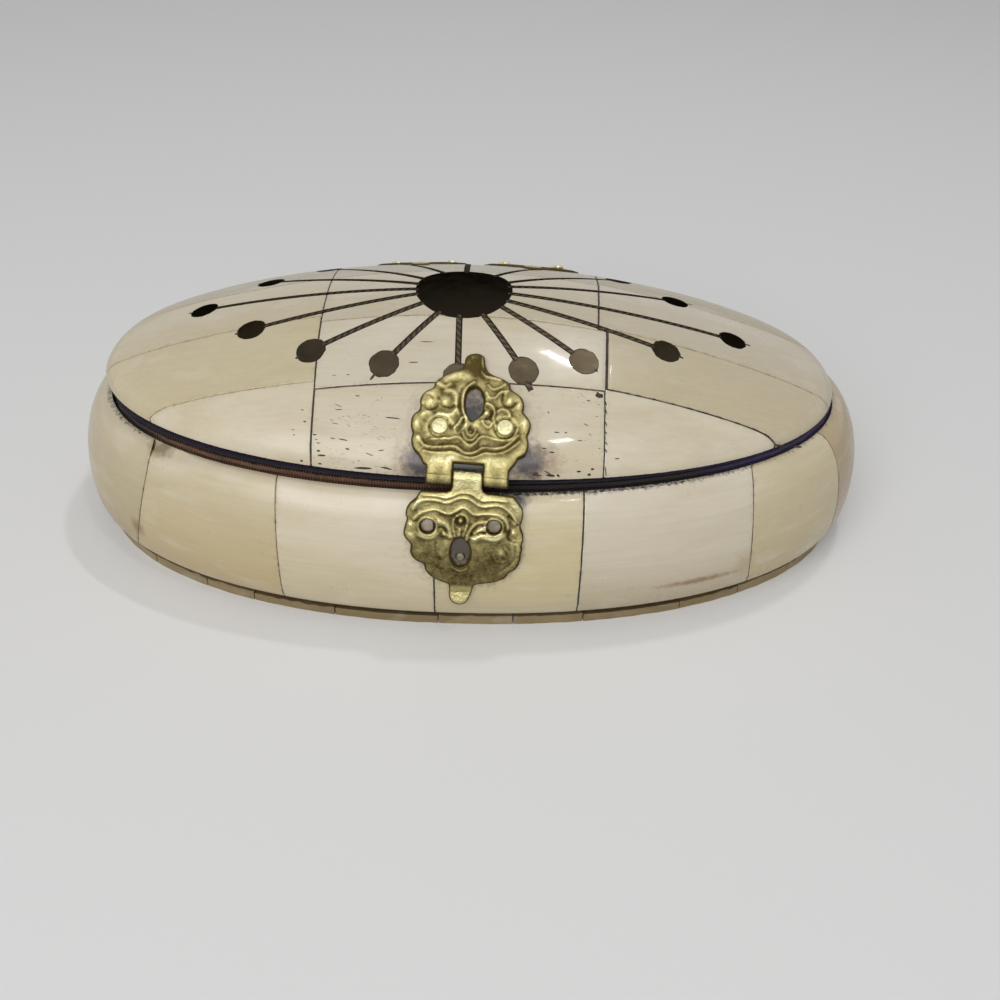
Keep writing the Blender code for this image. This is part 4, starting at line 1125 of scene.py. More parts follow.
def side_angle(point):
    """Angle of the box's outline on which a point of the side lies."""
    power = OUTLINE_POWER / 2
    inset = side_inset(min(max(point[2], SIDE_BONE_BOTTOM), SIDE_BONE_TOP))
    across = abs(point[0]) / (BODY_LENGTH / 2 - inset)
    along = abs(point[1]) / (BODY_DEPTH / 2 - inset)
    return math.atan2(math.copysign(along ** power, point[1]), math.copysign(across ** power, point[0]))


def outwards(bm):
    """Turn an open plate's faces away from the box's middle."""
    bm.normal_update()
    bm.faces.ensure_lookup_table()
    face = bm.faces[len(bm.faces) // 2]
    if face.normal.dot(Vector((face.calc_center_median().x, face.calc_center_median().y, 0))) < 0:
        bmesh.ops.reverse_faces(bm, faces=bm.faces)


FOOT_JOINT_ANGLES = (4.0, 17.0, 33.0, 47.0, 61.0, 74.0, 88.0, 102.0, 117.0, 131.0, 146.0, 160.0, 175.0,
                     189.0, 203.0, 217.0, 230.0, 239.2, 252.3, 266.5, 275.4, 285.0, 300.3, 311.8, 325.0,
                     338.0, 351.0)


class BOX_OT_foot(bpy.types.Operator):
    """Lay the foot's ring of short bone strips with broken upper edges"""
    bl_idname = "keepsake.foot"
    bl_label = "Foot"

    def execute(self, context):
        bone = context.scene.keepsake_bone
        rough = bone_material("filed_bone_foot", bone, 0.5)
        outer = BODY_LENGTH / 2 - FOOT_INSET
        meshes = []
        joints = [math.radians(angle) for angle in FOOT_JOINT_ANGLES]
        for number, (first, last) in enumerate(zip(joints, joints[1:] + [joints[0] + 2 * math.pi])):
            joint = 0.14 / side_speed(first)
            lift = 0.22 * math.sin(number * 1.7) - 0.1
            profile = [(outer, 0.0), (outer, 0.9), (outer, 1.8),
                       (outer - 0.05, FOOT_BONE_HEIGHT - 0.45 + lift)]
            bm = oval_spin(profile, side_depth, first + joint, last - joint,
                           math.ceil((last - first) / math.radians(0.8)))
            outwards(bm)
            bm.normal_update()
            for corner in bm.verts:
                if corner.co.z > 2.0:
                    corner.co.z += noise.noise(corner.co * 0.5) * 0.5 - 0.1
                sunk = 0.1 + 0.14 * noise.noise(corner.co * 0.3 + Vector((number, 0, 0)))
                corner.co -= corner.normal * sunk
            thicken(bm, FOOT_BONE_WIDTH - 0.3)
            meshes.append(bm)
        foot = piece("foot_bone_strips", join(meshes), rough, "box", ["foot_bone_ring"])
        distances = side_distances()

        def grain(point):
            angle = math.degrees(side_angle(point)) % 360
            return (distances[int(angle * 4)], point[2], 0.0)

        # The foot's colour is darkened as painted shade, and its upper edge is painted darker still as the
        # shade in the gap under the side plates.
        finish_bone(foot, grain, lambda point: linear("#867350"), 0.9, lambda point: 0.0)
        paint(foot, "edge", [0.8 if point[2] > 2.2 else 0.15 for point in points_mm(foot)])
        return {"FINISHED"}


# Stamped leaves of the latch and the hinges: u runs across a leaf, s away from its pin

def leaf_edge():
    """Right-hand scalloped edge of a leaf, from its shoulder up to the tab."""
    steps = SCALLOPS * 8
    start = -math.asin(((LEAF_MIDDLE - LEAF_SHOULDER) / LEAF_RADIUS) ** (LEAF_ROOT_POWER / 2))
    end = math.acos(TAB_WIDTH / 2 / LEAF_RADIUS)
    points = []
    for step in range(steps + 1):
        angle = start + (end - start) * step / steps
        power = 2 / LEAF_ROOT_POWER if angle < 0 else 1.0
        notch = SCALLOP_DEPTH * (1 - abs(math.sin(math.pi * step * SCALLOPS / steps)))
        radius = LEAF_RADIUS - notch + SCALLOP_DEPTH / 2
        points.append((radius * math.cos(angle) ** power,
                       LEAF_MIDDLE + radius * math.copysign(abs(math.sin(angle)) ** power, angle)))
    return points


def leaf_outline(tongued):
    """Outline of the flat sheet: the part that is rolled round the pin reaches below zero."""
    half_edge, half_slot, half_tongue = HINGE_EDGE_WIDTH / 2, SLOT_WIDTH / 2, TONGUE_WIDTH / 2
    if tongued:
        right = [(half_tongue, -ROLLED), (half_tongue, LEAF_SHOULDER - 0.5),
                 (half_tongue + 0.5, LEAF_SHOULDER)]
    else:
        right = [(half_slot, SLOT_DEPTH), (half_slot, -ROLLED), (half_edge, -ROLLED),
                 (half_edge, LEAF_SHOULDER)]
    right += leaf_edge()
    radius = TAB_WIDTH / 2
    for turn in range(0, 90, 10):
        angle = math.radians(turn)
        right.append((radius * math.cos(angle), TAB_REACH - radius + radius * math.sin(angle)))
    return right + [(0.0, TAB_REACH)] + [(-u, s) for u, s in reversed(right)]


def ellipse(centre_u, centre_s, half_width, half_length, sides=28):
    return [(centre_u + half_width * math.cos(2 * math.pi * step / sides),
             centre_s + half_length * math.sin(2 * math.pi * step / sides)) for step in range(sides)]


def line_distance(points, corners):
    """Distance from each flat point to a line through some corners, or to a single place."""
    corners = np.array(corners, float)
    nearest = np.full(len(points), 1e9)
    for start, end in zip(corners, corners[1:] if len(corners) > 1 else corners):
        along = end - start
        share = np.clip(((points - start) @ along) / max(along @ along, 1e-9), 0, 1)
        nearest = np.minimum(nearest, np.linalg.norm(points - start - share[:, None] * along, axis=1))
    return nearest


def press(points, marks):
    """Press marks into the flat sheet: the height at each flat point, and how bright it is painted: wear
    and tarnish, with painted highlight on the crests and painted shade in the moats.

    A mark is a rounded ridge, or a groove if its rise is negative: its width, its rise and its line.
    """
    height, rubbed_and_lit = np.zeros(len(points)), np.zeros(len(points))
    for width, rise, line in marks:
        nearest = line_distance(points, line)
        crest = np.exp(-(nearest / width) ** 2)
        height += rise * crest
        moat = np.exp(-(nearest / (2.1 * width)) ** 2)
        rubbed_and_lit += rise * (1.7 * crest - min(1.15, 0.45 / width) * moat)
    return height, rubbed_and_lit


CURVE_STEPS = 6


def curve(*corners):
    """A smooth line through a few corners."""
    corners = [Vector(corner) for corner in corners]
    ends = [2 * corners[0] - corners[1]] + corners + [2 * corners[-1] - corners[-2]]
    points = []
    for a, b, c, d in zip(ends, ends[1:], ends[2:], ends[3:]):
        for step in range(CURVE_STEPS):
            t = step / CURVE_STEPS
            points.append(0.5 * ((2 * b) + (c - a) * t + (2 * a - 5 * b + 4 * c - d) * t * t
                                 + (3 * b - a - 3 * c + d) * t ** 3))
    return [tuple(point) for point in points] + [tuple(corners[-1])]


def walk(points, distance):
    """Point and heading at a distance along a line, past its end if need be."""
    for (out, height), (next_out, next_height) in zip(points, points[1:]):
        length = math.hypot(next_out - out, next_height - height)
        heading = (next_out - out) / length, (next_height - height) / length
        if distance <= length or (next_out, next_height) == points[-1]:
            break
        distance -= length
    return out + heading[0] * distance, height + heading[1] * distance, heading


def lid_leaf_path(x):
    across = (abs(x) / LID_HALF_LENGTH) ** OUTLINE_POWER
    surface = []
    for step in range(25):
        reach = LID_LANDING_SHARE - (LID_LANDING_SHARE - LID_END_SHARE) * step / 24
        inner = reach ** OUTLINE_POWER - across
        if inner > 0:
            surface.append((LID_HALF_DEPTH * inner ** (1 / OUTLINE_POWER), dome_height(reach)))
    lifted = []
    for (o1, z1), (o2, z2) in zip(surface, surface[1:]):
        length = math.hypot(o2 - o1, z2 - z1)
        lifted.append((o1 + SEAT_GAP * (z2 - z1) / length, z1 + SEAT_GAP * (o1 - o2) / length))
    back, up = PIN_OUT - lifted[0][0], lifted[0][1] - PIN_HEIGHT
    slope = math.atan2(up, back) - math.asin(KNUCKLE_BORE / math.hypot(back, up))
    start = (PIN_OUT + KNUCKLE_BORE * math.sin(slope), PIN_HEIGHT + KNUCKLE_BORE * math.cos(slope))
    return [start] + lifted, slope


def side_leaf_path(x, bend):
    surface = []
    for step in range(17):
        height = SIDE_LANDING - (SIDE_LANDING - WIDEST_HEIGHT) * step / 16
        inset = side_inset(height)
        across = (abs(x) / (BODY_LENGTH / 2 - inset)) ** OUTLINE_POWER
        out = (BODY_DEPTH / 2 - inset) * (1 - across) ** (1 / OUTLINE_POWER)
        surface.append((out + SEAT_GAP, height))
    out, down = surface[0][0] - PIN_OUT, PIN_HEIGHT - surface[0][1]
    slope = math.atan2(down, out) + math.asin(KNUCKLE_BORE / math.hypot(out, down))
    start = (PIN_OUT + KNUCKLE_BORE * math.sin(slope), PIN_HEIGHT + KNUCKLE_BORE * math.cos(slope))
    last = surface[-1]
    return [start] + surface + [(last[0] + TAB_REACH * math.sin(bend),
                                 last[1] - TAB_REACH * math.cos(bend))], slope


def leaf_place(x, side, on_lid, lean=0.0, bend=0.0):
    """Where a leaf lies: side is -1 at the front, and the lean turns it clockwise as seen from there."""
    return {"x": x, "side": side, "on_lid": on_lid, "lean": math.radians(lean),
            "along": 1 if on_lid else -1, "bend": math.radians(bend), "paths": {},
            "pin": PIN_HEIGHT + (LATCH_X - x) * math.sin(math.radians(lean))}


def leaf_point(u, s, thickness, place):
    """Bend a point of the flat sheet onto the box, or round the pin if it lies below zero."""
    lean, along = place["lean"], place["along"]
    x = place["x"] + u * math.cos(lean) + along * max(s, 0.0) * math.sin(lean)
    key = round(x, 2)
    if key not in place["paths"]:
        place["paths"][key] = lid_leaf_path(x) if place["on_lid"] else side_leaf_path(x, place["bend"])
    path, slope = place["paths"][key]
    if s < 0:
        turn = slope - along * s / (KNUCKLE_BORE + SHEET / 2)
        normal = math.sin(turn), math.cos(turn)
        out, height = PIN_OUT + KNUCKLE_BORE * normal[0], place["pin"] + KNUCKLE_BORE * normal[1]
        height -= u * math.sin(lean)
    else:
        out, height, heading = walk(path, s * math.cos(lean) - along * u * math.sin(lean))
        normal = (heading[1], -heading[0]) if place["on_lid"] else (-heading[1], heading[0])
    out += thickness * normal[0]
    height += thickness * normal[1]
    return Vector((x, place["side"] * out, height)), Vector((0.0, place["side"] * normal[0], normal[1]))


def raise_up(bm, height):
    """Give a flat shape thickness upwards."""
    raised = bmesh.ops.extrude_face_region(bm, geom=bm.faces[:])
    bmesh.ops.translate(bm, vec=(0, 0, height),
                        verts=[item for item in raised["geom"] if isinstance(item, bmesh.types.BMVert)])
    bmesh.ops.recalc_face_normals(bm, faces=bm.faces)


def stamped_leaf(place, loops, stamp, brass, cell=0.2, thick=SHEET):
    """Cut a leaf out of flat sheet, stamp its pattern, bend it onto the box and roll its knuckles."""
    width, length = 2 * LEAF_RADIUS + 3, TAB_REACH + ROLLED + 2
    columns, rows = round(width / cell), round(length / cell)
    sheet = bmesh.new()
    bmesh.ops.create_grid(sheet, x_segments=columns, y_segments=rows, size=0.5)
    bmesh.ops.scale(sheet, vec=(width, length, 1.0), verts=sheet.verts)
    bmesh.ops.translate(sheet, vec=(0.013, (TAB_REACH - ROLLED) / 2 + 0.017, 0.0), verts=sheet.verts)
    raise_up(sheet, SHEET)
    die = bmesh.new()
    for loop in loops:
        corners = [die.verts.new((u, s, -1.0)) for u, s in loop]
        for pair in zip(corners, corners[1:] + corners[:1]):
            die.edges.new(pair)
    bmesh.ops.triangle_fill(die, edges=die.edges[:], use_beauty=True)
    raise_up(die, 3.0)
    bm = boolean(sheet, die, "INTERSECT")
    bmesh.ops.remove_doubles(bm, verts=bm.verts, dist=0.004)
    flat = np.array([corner.co[:2] for corner in bm.verts])
    from_edge = np.min([line_distance(flat, [*loop, loop[0]]) for loop in loops], axis=0)
    height, rubbed_and_lit, lift = stamp(flat, from_edge)
    quiet = np.clip((flat[:, 1] - 0.3) / 1.5, 0, 1)
    height = np.clip(height, -0.3, 0.5) * quiet * brass.relief / RELIEF
    rim = 0.2 * np.clip(1 - from_edge / 0.3, 0, 1) ** 2
    # Darker within 0.42 mm of the leaf's edge: dirt and a painted contact shadow.
    rubbed_and_lit = np.clip(0.38 + rubbed_and_lit - 0.65 * np.clip(1 - from_edge / 0.42, 0, 1), -0.2, 0.95)
    for corner, rise, drop, off in zip(bm.verts, height, rim, lift):
        upper = corner.co.z > SHEET / 2
        thickness = (thick + rise - drop if upper else 0.0) + off
        corner.co, _ = leaf_point(corner.co.x, corner.co.y, thickness, place)
    return bm, rubbed_and_lit


def aim(bm, way, place):
    """Turn a mesh drawn along Z into a direction and move it to a place."""
    turn = Vector((0, 0, 1)).rotation_difference(way).to_matrix()
    bmesh.ops.rotate(bm, cent=(0, 0, 0), matrix=turn, verts=bm.verts)
    bmesh.ops.translate(bm, vec=place, verts=bm.verts)
    return bm


def nail(place, u, s, head=NAIL_HEAD, rise=SHEET + 0.05):
    """A flat-headed nail with a rounded rim, seated on its leaf or a given rise over the bone."""
    seat, normal = leaf_point(u, s, rise, place)
    bm = bmesh.new()
    bmesh.ops.create_cone(bm, cap_ends=True, segments=24, radius1=head, radius2=head - 0.25, depth=0.55)
    bmesh.ops.translate(bm, vec=(0, 0, 0.275), verts=bm.verts)
    rim = [edge for edge in bm.edges if all(corner.co.z > 0.5 for corner in edge.verts)]
    bmesh.ops.bevel(bm, geom=rim, offset=0.16, segments=3, profile=0.5, affect="EDGES", material=-1)
    shank = bmesh.new()
    bmesh.ops.create_cone(shank, cap_ends=True, segments=12, radius1=0.25, radius2=0.6, depth=5.0)
    bmesh.ops.translate(shank, vec=(0, 0, -2.4), verts=shank.verts)
    bm = join([bm, shank])
    return aim(bm, normal, seat)


def pin(place, half, middle=0.0):
    """A drawn pin with slightly rounded ends, its middle a little off its leaf's."""
    bm = bmesh.new()
    bmesh.ops.create_cone(bm, cap_ends=True, segments=20, radius1=PIN_RADIUS, radius2=PIN_RADIUS,
                          depth=2 * half)
    rims = [edge for edge in bm.edges if len({round(corner.co.z, 3) for corner in edge.verts}) == 1]
    bmesh.ops.bevel(bm, geom=rims, offset=0.12, segments=2, profile=0.5, affect="EDGES", material=-1)
    way = Vector((math.cos(place["lean"]), 0, -math.sin(place["lean"])))
    return aim(bm, way, Vector((place["x"], place["side"] * PIN_OUT, place["pin"])) + way * middle)


def smooth(marks):
    """Marks with their lines of three or more corners made smooth."""
    return [(width, rise, curve(*line) if len(line) > 2 else line) for width, rise, line in marks]


def closed(*corners):
    """A smooth closed line through a few corners, cut out of a curve that goes on past both ends."""
    line = curve(*corners[-2:], *corners, *corners[:2])
    return line[2 * CURVE_STEPS:-2 * CURVE_STEPS - 1]


def lobes(points, from_edge):
    """The soft swellings that follow the scallops of the edge."""
    turn = np.arctan2(points[:, 1] - LEAF_MIDDLE, np.abs(points[:, 0]))
    flutes = 0.5 + 0.5 * np.cos(turn * 11.0)
    border = np.exp(-((from_edge - 1.0) / 0.8) ** 2) * (0.4 + 0.6 * flutes)
    return 0.26 * border, 0.2 * border - 0.06


PLATE_LEFT_EDGE = ((-8.2, 1.75), (-8.8, 2.1), (-9.2, 2.9), (-9.9, 3.9), (-10.8, 4.8), (-11.4, 6.1),
                   (-11.5, 7.5), (-11.4, 8.3), (-11.8, 9.5), (-11.9, 11.1), (-11.5, 12.2),
                   (-10.7, 13.0), (-10.4, 14.0), (-10.6, 15.3), (-10.3, 16.5), (-9.6, 17.4),
                   (-8.3, 18.3), (-8.0, 19.4), (-7.4, 20.3), (-6.5, 21.0), (-4.7, 22.1),
                   (-3.6, 22.7), (-3.0, 23.3), (-2.6, 24.5), (-2.4, 25.9), (-1.7, 26.7),
                   (-0.5, 27.1))
PLATE_RIGHT_EDGE = ((-0.5, 27.1), (0.5, 26.9), (1.2, 26.3), (1.5, 25.3), (1.7, 24.2), (2.4, 22.8),
                    (3.7, 22.0), (4.9, 21.6), (6.1, 21.0), (6.9, 20.2), (7.2, 19.2), (8.3, 18.4),
                    (9.3, 17.6), (9.9, 16.4), (10.0, 15.0), (10.0, 14.3), (10.7, 13.5),
                    (11.4, 12.4), (11.6, 11.5), (11.4, 10.3), (11.1, 9.4), (11.4, 8.1), (11.4, 6.8),
                    (10.9, 5.4), (9.7, 4.5), (9.2, 3.4), (8.4, 2.2), (8.1, 1.7))
PLATE_KEYHOLE = ((0.0, 19.2), (0.95, 18.6), (1.7, 17.3), (2.0, 15.8), (1.9, 14.2), (1.45, 12.9),
                 (0.7, 12.1), (0.05, 11.7), (-0.55, 12.2), (-1.15, 13.1), (-1.5, 14.4),
                 (-1.6, 15.8), (-1.45, 17.5), (-0.8, 18.7))
PLATE_NAILS = ((-6.2, 9.9), (6.6, 10.6))
FLAP_LEFT_EDGE = ((-8.2, 2.7), (-8.9, 3.0), (-9.6, 4.3), (-10.7, 5.5), (-11.3, 6.7), (-11.4, 7.9),
                  (-11.1, 8.8), (-11.4, 10.2), (-11.6, 11.8), (-11.2, 12.9), (-10.1, 14.2),
                  (-10.1, 15.6), (-9.7, 16.7), (-8.8, 17.6), (-7.3, 18.3), (-6.8, 19.7),
                  (-5.7, 21.0), (-3.8, 22.0), (-2.2, 22.6), (-1.9, 23.4), (-1.8, 25.4),
                  (-1.4, 26.6), (-0.4, 27.3), (0.5, 27.4))
FLAP_RIGHT_EDGE = ((0.5, 27.4), (1.4, 27.1), (2.1, 26.3), (2.6, 25.0), (2.9, 23.2), (3.3, 22.4),
                   (5.3, 21.9), (7.0, 21.5), (8.0, 21.0), (9.1, 20.3), (9.8, 19.0), (11.2, 17.6),
                   (11.8, 15.8), (11.8, 14.4), (12.0, 13.4), (11.8, 12.6), (12.0, 11.4),
                   (11.8, 10.1), (11.2, 8.6), (11.5, 6.8), (11.3, 5.0), (10.3, 3.7), (9.4, 2.7),
                   (9.0, 2.5))
FLAP_KEYHOLE = ((-0.3, 11.9), (0.7, 12.5), (1.5, 13.7), (1.8, 15.1), (1.6, 16.5), (0.9, 17.8),
                (-0.15, 18.3), (-1.2, 17.8), (-1.9, 16.4), (-2.1, 15.0), (-1.95, 13.6),
                (-1.3, 12.4))
FLAP_HOLES = ((-7.0, 9.9), (6.0, 9.1))


def plate_loops():
    """Outline of the latch plate with its slot for the flap's tongue, its keyhole and its nail holes."""
    outline = [(-8.05, -ROLLED), (-8.05, 1.5)] + curve(*PLATE_LEFT_EDGE) + curve(*PLATE_RIGHT_EDGE)[1:]
    outline += [(8.1, -ROLLED), (3.15, -ROLLED), (3.0, 2.6), (-2.85, 2.6), (-2.7, -ROLLED)]
    return [outline, closed(*PLATE_KEYHOLE)] + [ellipse(u, s, 0.9, 0.9, 20) for u, s in PLATE_NAILS]


def flap_loops():
    """Outline of the flap with its tongue, its keyhole and its two empty nail holes."""
    outline = [(-2.72, -ROLLED), (-2.72, 1.6), (-3.0, 2.2), (-3.7, 2.55)] + curve(*FLAP_LEFT_EDGE)
    outline += curve(*FLAP_RIGHT_EDGE)[1:] + [(4.2, 2.35), (3.4, 1.95), (3.05, 1.3), (3.0, -ROLLED)]
    return [outline, closed(*FLAP_KEYHOLE)] + [ellipse(u, s, 1.35, 1.35, 24) for u, s in FLAP_HOLES]


# Pattern of the latch plate: leaves, scrolls and bosses round the keyhole, waves towards the pin. Each
# mark has a width, a rise and a line.
PLATE_MARKS = [
    (0.34, 0.36, ((-10.2, 7.4), (-8.9, 5.8), (-7.4, 5.5), (-5.6, 5.6), (-3.9, 5.9), (-2.8, 5.9),
                  (-2.1, 5.5), (-1.2, 4.9), (0.1, 4.7), (1.5, 5.2), (2.3, 5.9), (3.2, 6.1),
                  (4.9, 6.1), (6.7, 6.6), (8.0, 7.7), (9.2, 9.2))),
    (0.3, 0.32, ((-8.8, 4.5), (-6.7, 4.3), (-5.0, 4.4), (-3.4, 4.7), (-2.0, 4.3), (-0.5, 3.8),
                 (0.9, 3.8), (2.4, 4.6), (3.3, 5.0), (5.0, 5.0), (6.8, 5.5), (8.5, 6.8),
                 (9.6, 8.0))),
    (0.32, 0.32, ((-7.6, 7.2), (-6.2, 7.2), (-5.1, 7.5), (-4.1, 7.6), (-3.0, 8.0), (-2.0, 7.9),
                  (-1.3, 7.2), (-0.4, 6.5), (0.4, 6.5), (1.1, 7.1), (1.6, 7.9), (2.4, 8.5),
                  (4.0, 8.3), (4.9, 8.1), (5.8, 7.9), (7.5, 8.2), (8.4, 9.3), (8.9, 10.5))),
    (0.28, 0.3, ((-1.6, 9.0), (-1.0, 7.9), (-0.1, 7.5), (0.7, 7.9), (1.3, 8.9))),
    (0.25, 0.32, ((-0.9, 9.7), (-0.6, 8.9), (0.0, 8.6), (0.6, 8.9), (0.85, 9.8))),
    (0.45, -0.3, [(-0.1, 11.8), (-0.25, 10.2)]), (0.62, -0.22, [(-0.2, 10.1), (-0.1, 9.6)]),
    (0.3, 0.42, [(-0.1, 9.3)]),
    (0.33, 0.4, ((-0.3, 19.9), (-1.5, 18.7), (-2.1, 16.8), (-2.1, 14.9), (-1.8, 13.3),
                 (-1.1, 12.0))),
    (0.3, -0.25, ((-2.6, 18.6), (-2.9, 16.6), (-2.8, 14.4), (-2.0, 12.6))),
    (0.55, 0.4, ((-5.6, 17.7), (-4.4, 17.7), (-3.6, 16.6), (-3.4, 15.2))),
    (0.5, 0.34, ((-7.4, 19.2), (-6.0, 18.6), (-5.0, 19.2))),
    (0.6, 0.42, ((-6.6, 12.5), (-5.2, 12.4), (-4.1, 12.6), (-3.3, 13.6))),
    (0.32, 0.4, ((-2.0, 12.0), (-2.5, 10.9), (-3.3, 9.8))),
    (0.3, -0.3, ((-1.6, 11.6), (-1.9, 10.4), (-2.6, 9.2))), (0.9, 0.4, [(-8.5, 15.1)]),
    (0.6, 0.3, [(-9.4, 12.4), (-8.6, 12.7)]), (0.8, 0.32, [(-10.6, 10.4)]),
    (0.3, -0.3, ((-9.9, 14.3), (-8.7, 13.4), (-7.5, 13.8), (-6.9, 14.9))),
    (0.3, -0.26, ((-9.6, 16.6), (-8.7, 16.5), (-8.2, 15.9))),
    (0.3, -0.26, ((-7.0, 16.2), (-6.2, 14.6), (-4.6, 14.2), (-3.8, 14.6))),
    (0.8, 0.35, [(-10.3, 7.2)]), (0.9, 0.3, [(-5.6, 15.6)]), (0.45, 0.55, [(2.75, 13.4)]),
    (0.26, -0.32, ((2.6, 14.9), (3.4, 14.4), (3.75, 13.5), (3.4, 12.5), (2.6, 12.2))),
    (0.28, 0.34, ((2.6, 15.5), (3.8, 15.0), (4.3, 13.7), (4.1, 12.4), (4.6, 11.2), (4.8, 10.2))),
    (0.28, 0.36, ((2.0, 11.7), (2.5, 10.9), (3.4, 10.5), (3.9, 11.2), (3.2, 11.8))),
    (0.34, 0.36, ((5.0, 14.0), (5.7, 14.5), (6.8, 14.2), (7.3, 13.2), (6.3, 12.9))),
    (0.3, -0.3, ((5.6, 18.0), (5.6, 16.4), (6.3, 15.4), (7.5, 15.3), (8.4, 16.2))),
    (0.7, 0.46, [(7.1, 16.5)]), (0.7, 0.36, [(9.0, 15.6)]), (0.8, 0.36, [(10.2, 12.0)]),
    (0.3, 0.32, ((2.3, 17.8), (3.0, 16.8), (4.3, 17.0), (5.1, 18.1), (6.6, 18.6))),
    (0.3, 0.3, ((2.6, 19.6), (3.6, 18.8), (5.0, 19.3), (6.0, 20.0))),
    (0.32, 0.36, ((0.9, 22.7), (1.9, 21.5), (3.4, 21.2), (5.0, 20.9))),
    (0.4, 0.4, ((1.0, 26.0), (1.1, 24.6), (1.3, 23.2))),
    (0.9, 0.25, ((-5.6, 20.6), (-3.4, 21.4), (-1.6, 21.2))),
    (0.45, -0.26, ((-4.4, 8.3), (-3.8, 9.3), (-4.2, 10.3))), (1.4, 0.3, [(-6.4, 2.9), (-3.6, 3.3)]),
    (1.2, 0.25, [(4.2, 3.3), (6.6, 3.2)])]


def plate_stamp(points, from_edge):
    """Stamp the latch plate's pattern, with a ring round each nail."""
    s = points[:, 1]
    marks = smooth(PLATE_MARKS)
    for place_u, place_s in PLATE_NAILS:
        marks.append((0.32, -0.4, ellipse(place_u, place_s, 2.0, 2.0, 24) + [(place_u + 2.0, place_s)]))
    height, rubbed_and_lit = press(points, marks)
    swell, shine = lobes(points, from_edge)
    tarnish = 0.07 + 0.3 * np.clip((s - 19.5) / 4.0, 0, 1)
    return height + swell, rubbed_and_lit + shine - tarnish, np.zeros(len(points))


# Pattern of the flap, the plate's mate: wide waves, a stemmed boss, and leaves round the keyhole
FLAP_MARKS = [
    (0.36, 0.44, ((-10.0, 6.4), (-9.3, 5.1), (-8.1, 4.5), (-6.4, 4.3), (-4.9, 4.4), (-3.8, 4.7),
                  (-2.8, 4.4), (-1.8, 3.8), (-0.6, 3.4), (0.6, 3.5), (1.6, 4.0), (2.5, 4.6),
                  (3.6, 4.9), (5.3, 4.6), (6.6, 4.5), (7.8, 4.9), (9.4, 6.2), (10.2, 8.0))),
    (0.36, 0.44, ((-9.7, 8.5), (-8.7, 7.3), (-7.6, 6.7), (-6.2, 6.3), (-5.2, 6.3), (-4.1, 6.7),
                  (-3.0, 6.9), (-2.0, 6.5), (-1.1, 5.8), (-0.3, 5.4), (0.6, 5.7), (1.4, 6.4),
                  (2.3, 6.7), (3.5, 6.5), (5.1, 6.3), (6.5, 6.4), (7.7, 6.9), (8.4, 7.8),
                  (8.9, 9.3))),
    (0.3, 0.3, ((-7.9, 3.5), (-6.0, 3.4), (-5.0, 3.5), (-3.9, 3.6), (-2.5, 3.2), (-1.5, 2.7),
                (-0.1, 2.4), (1.3, 2.6), (2.4, 3.3), (3.5, 3.7), (5.6, 3.4), (8.0, 3.5))),
    (0.42, 0.62, [(-0.6, 8.2)]),
    (0.26, -0.34, ((-1.3, 7.6), (-1.5, 8.5), (-1.0, 9.3), (-0.2, 9.3), (0.3, 8.5), (0.1, 7.6))),
    (0.3, 0.3, ((-1.4, 7.3), (-0.6, 6.9), (0.3, 7.3), (0.8, 8.4), (0.5, 10.0), (0.1, 11.4))),
    (0.3, 0.3, ((-1.4, 7.3), (-2.0, 8.4), (-1.9, 10.0), (-1.4, 11.4))),
    (0.32, 0.32, [(-0.6, 9.9), (-0.7, 11.3)]),
    (0.5, 0.45, ((-4.7, 8.6), (-3.6, 9.0), (-2.8, 10.0), (-2.4, 11.6))),
    (0.45, 0.5, [(-3.5, 11.2)]), (0.3, -0.28, ((-4.6, 10.0), (-3.8, 10.1), (-3.1, 11.0))),
    (0.7, 0.3, [(-3.9, 15.6)]), (0.3, -0.22, ((-5.2, 13.4), (-4.9, 15.4), (-3.9, 16.8))),
    (0.36, 0.46, ((0.8, 12.0), (1.2, 10.4), (2.0, 9.1), (3.1, 8.3), (4.5, 8.0))),
    (0.26, -0.34, ((1.7, 11.2), (2.2, 10.2), (3.2, 9.4), (4.2, 8.9))),
    (0.5, 0.5, ((2.3, 10.6), (3.0, 9.9), (3.9, 9.5), (4.6, 9.1))),
    (0.26, -0.3, ((2.2, 11.3), (3.4, 10.5), (4.6, 10.4))),
    (0.6, 0.5, ((2.4, 11.8), (3.6, 11.2), (4.8, 11.3), (6.4, 11.5), (7.7, 10.6))),
    (0.5, 0.36, ((-8.4, 11.8), (-7.2, 12.3), (-5.9, 12.1), (-5.2, 11.2))),
    (0.3, 0.34, ((-1.5, 18.3), (-0.1, 19.1), (1.2, 18.5))),
    (0.26, 0.2, ((-1.1, 19.4), (-0.1, 19.9), (1.0, 19.5))), (0.75, 0.5, [(7.9, 14.5)]),
    (0.35, -0.3, [(8.2, 15.5)]),
    (0.3, 0.26, ((6.5, 15.0), (7.0, 16.2), (8.1, 16.5), (9.1, 15.8), (9.4, 14.4), (8.6, 13.4))),
    (0.8, 0.24, [(-8.0, 15.2)]), (0.6, 0.42, [(9.9, 10.0)]), (0.4, 0.3, [(10.0, 11.8)]),
    (0.26, -0.34, ((8.6, 6.6), (9.7, 7.4), (10.6, 8.4))),
    (0.3, -0.28, ((9.1, 9.3), (9.0, 11.4), (10.3, 12.0))),
    (0.3, -0.34, ((10.5, 12.9), (10.6, 15.2), (9.6, 17.1), (8.2, 18.4))),
    (0.8, 0.3, [(-10.2, 9.8)]), (0.8, 0.26, [(-9.9, 12.2)]), (0.9, 0.2, [(-6.4, 19.0)]),
    (0.8, 0.18, [(4.4, 16.6)])]


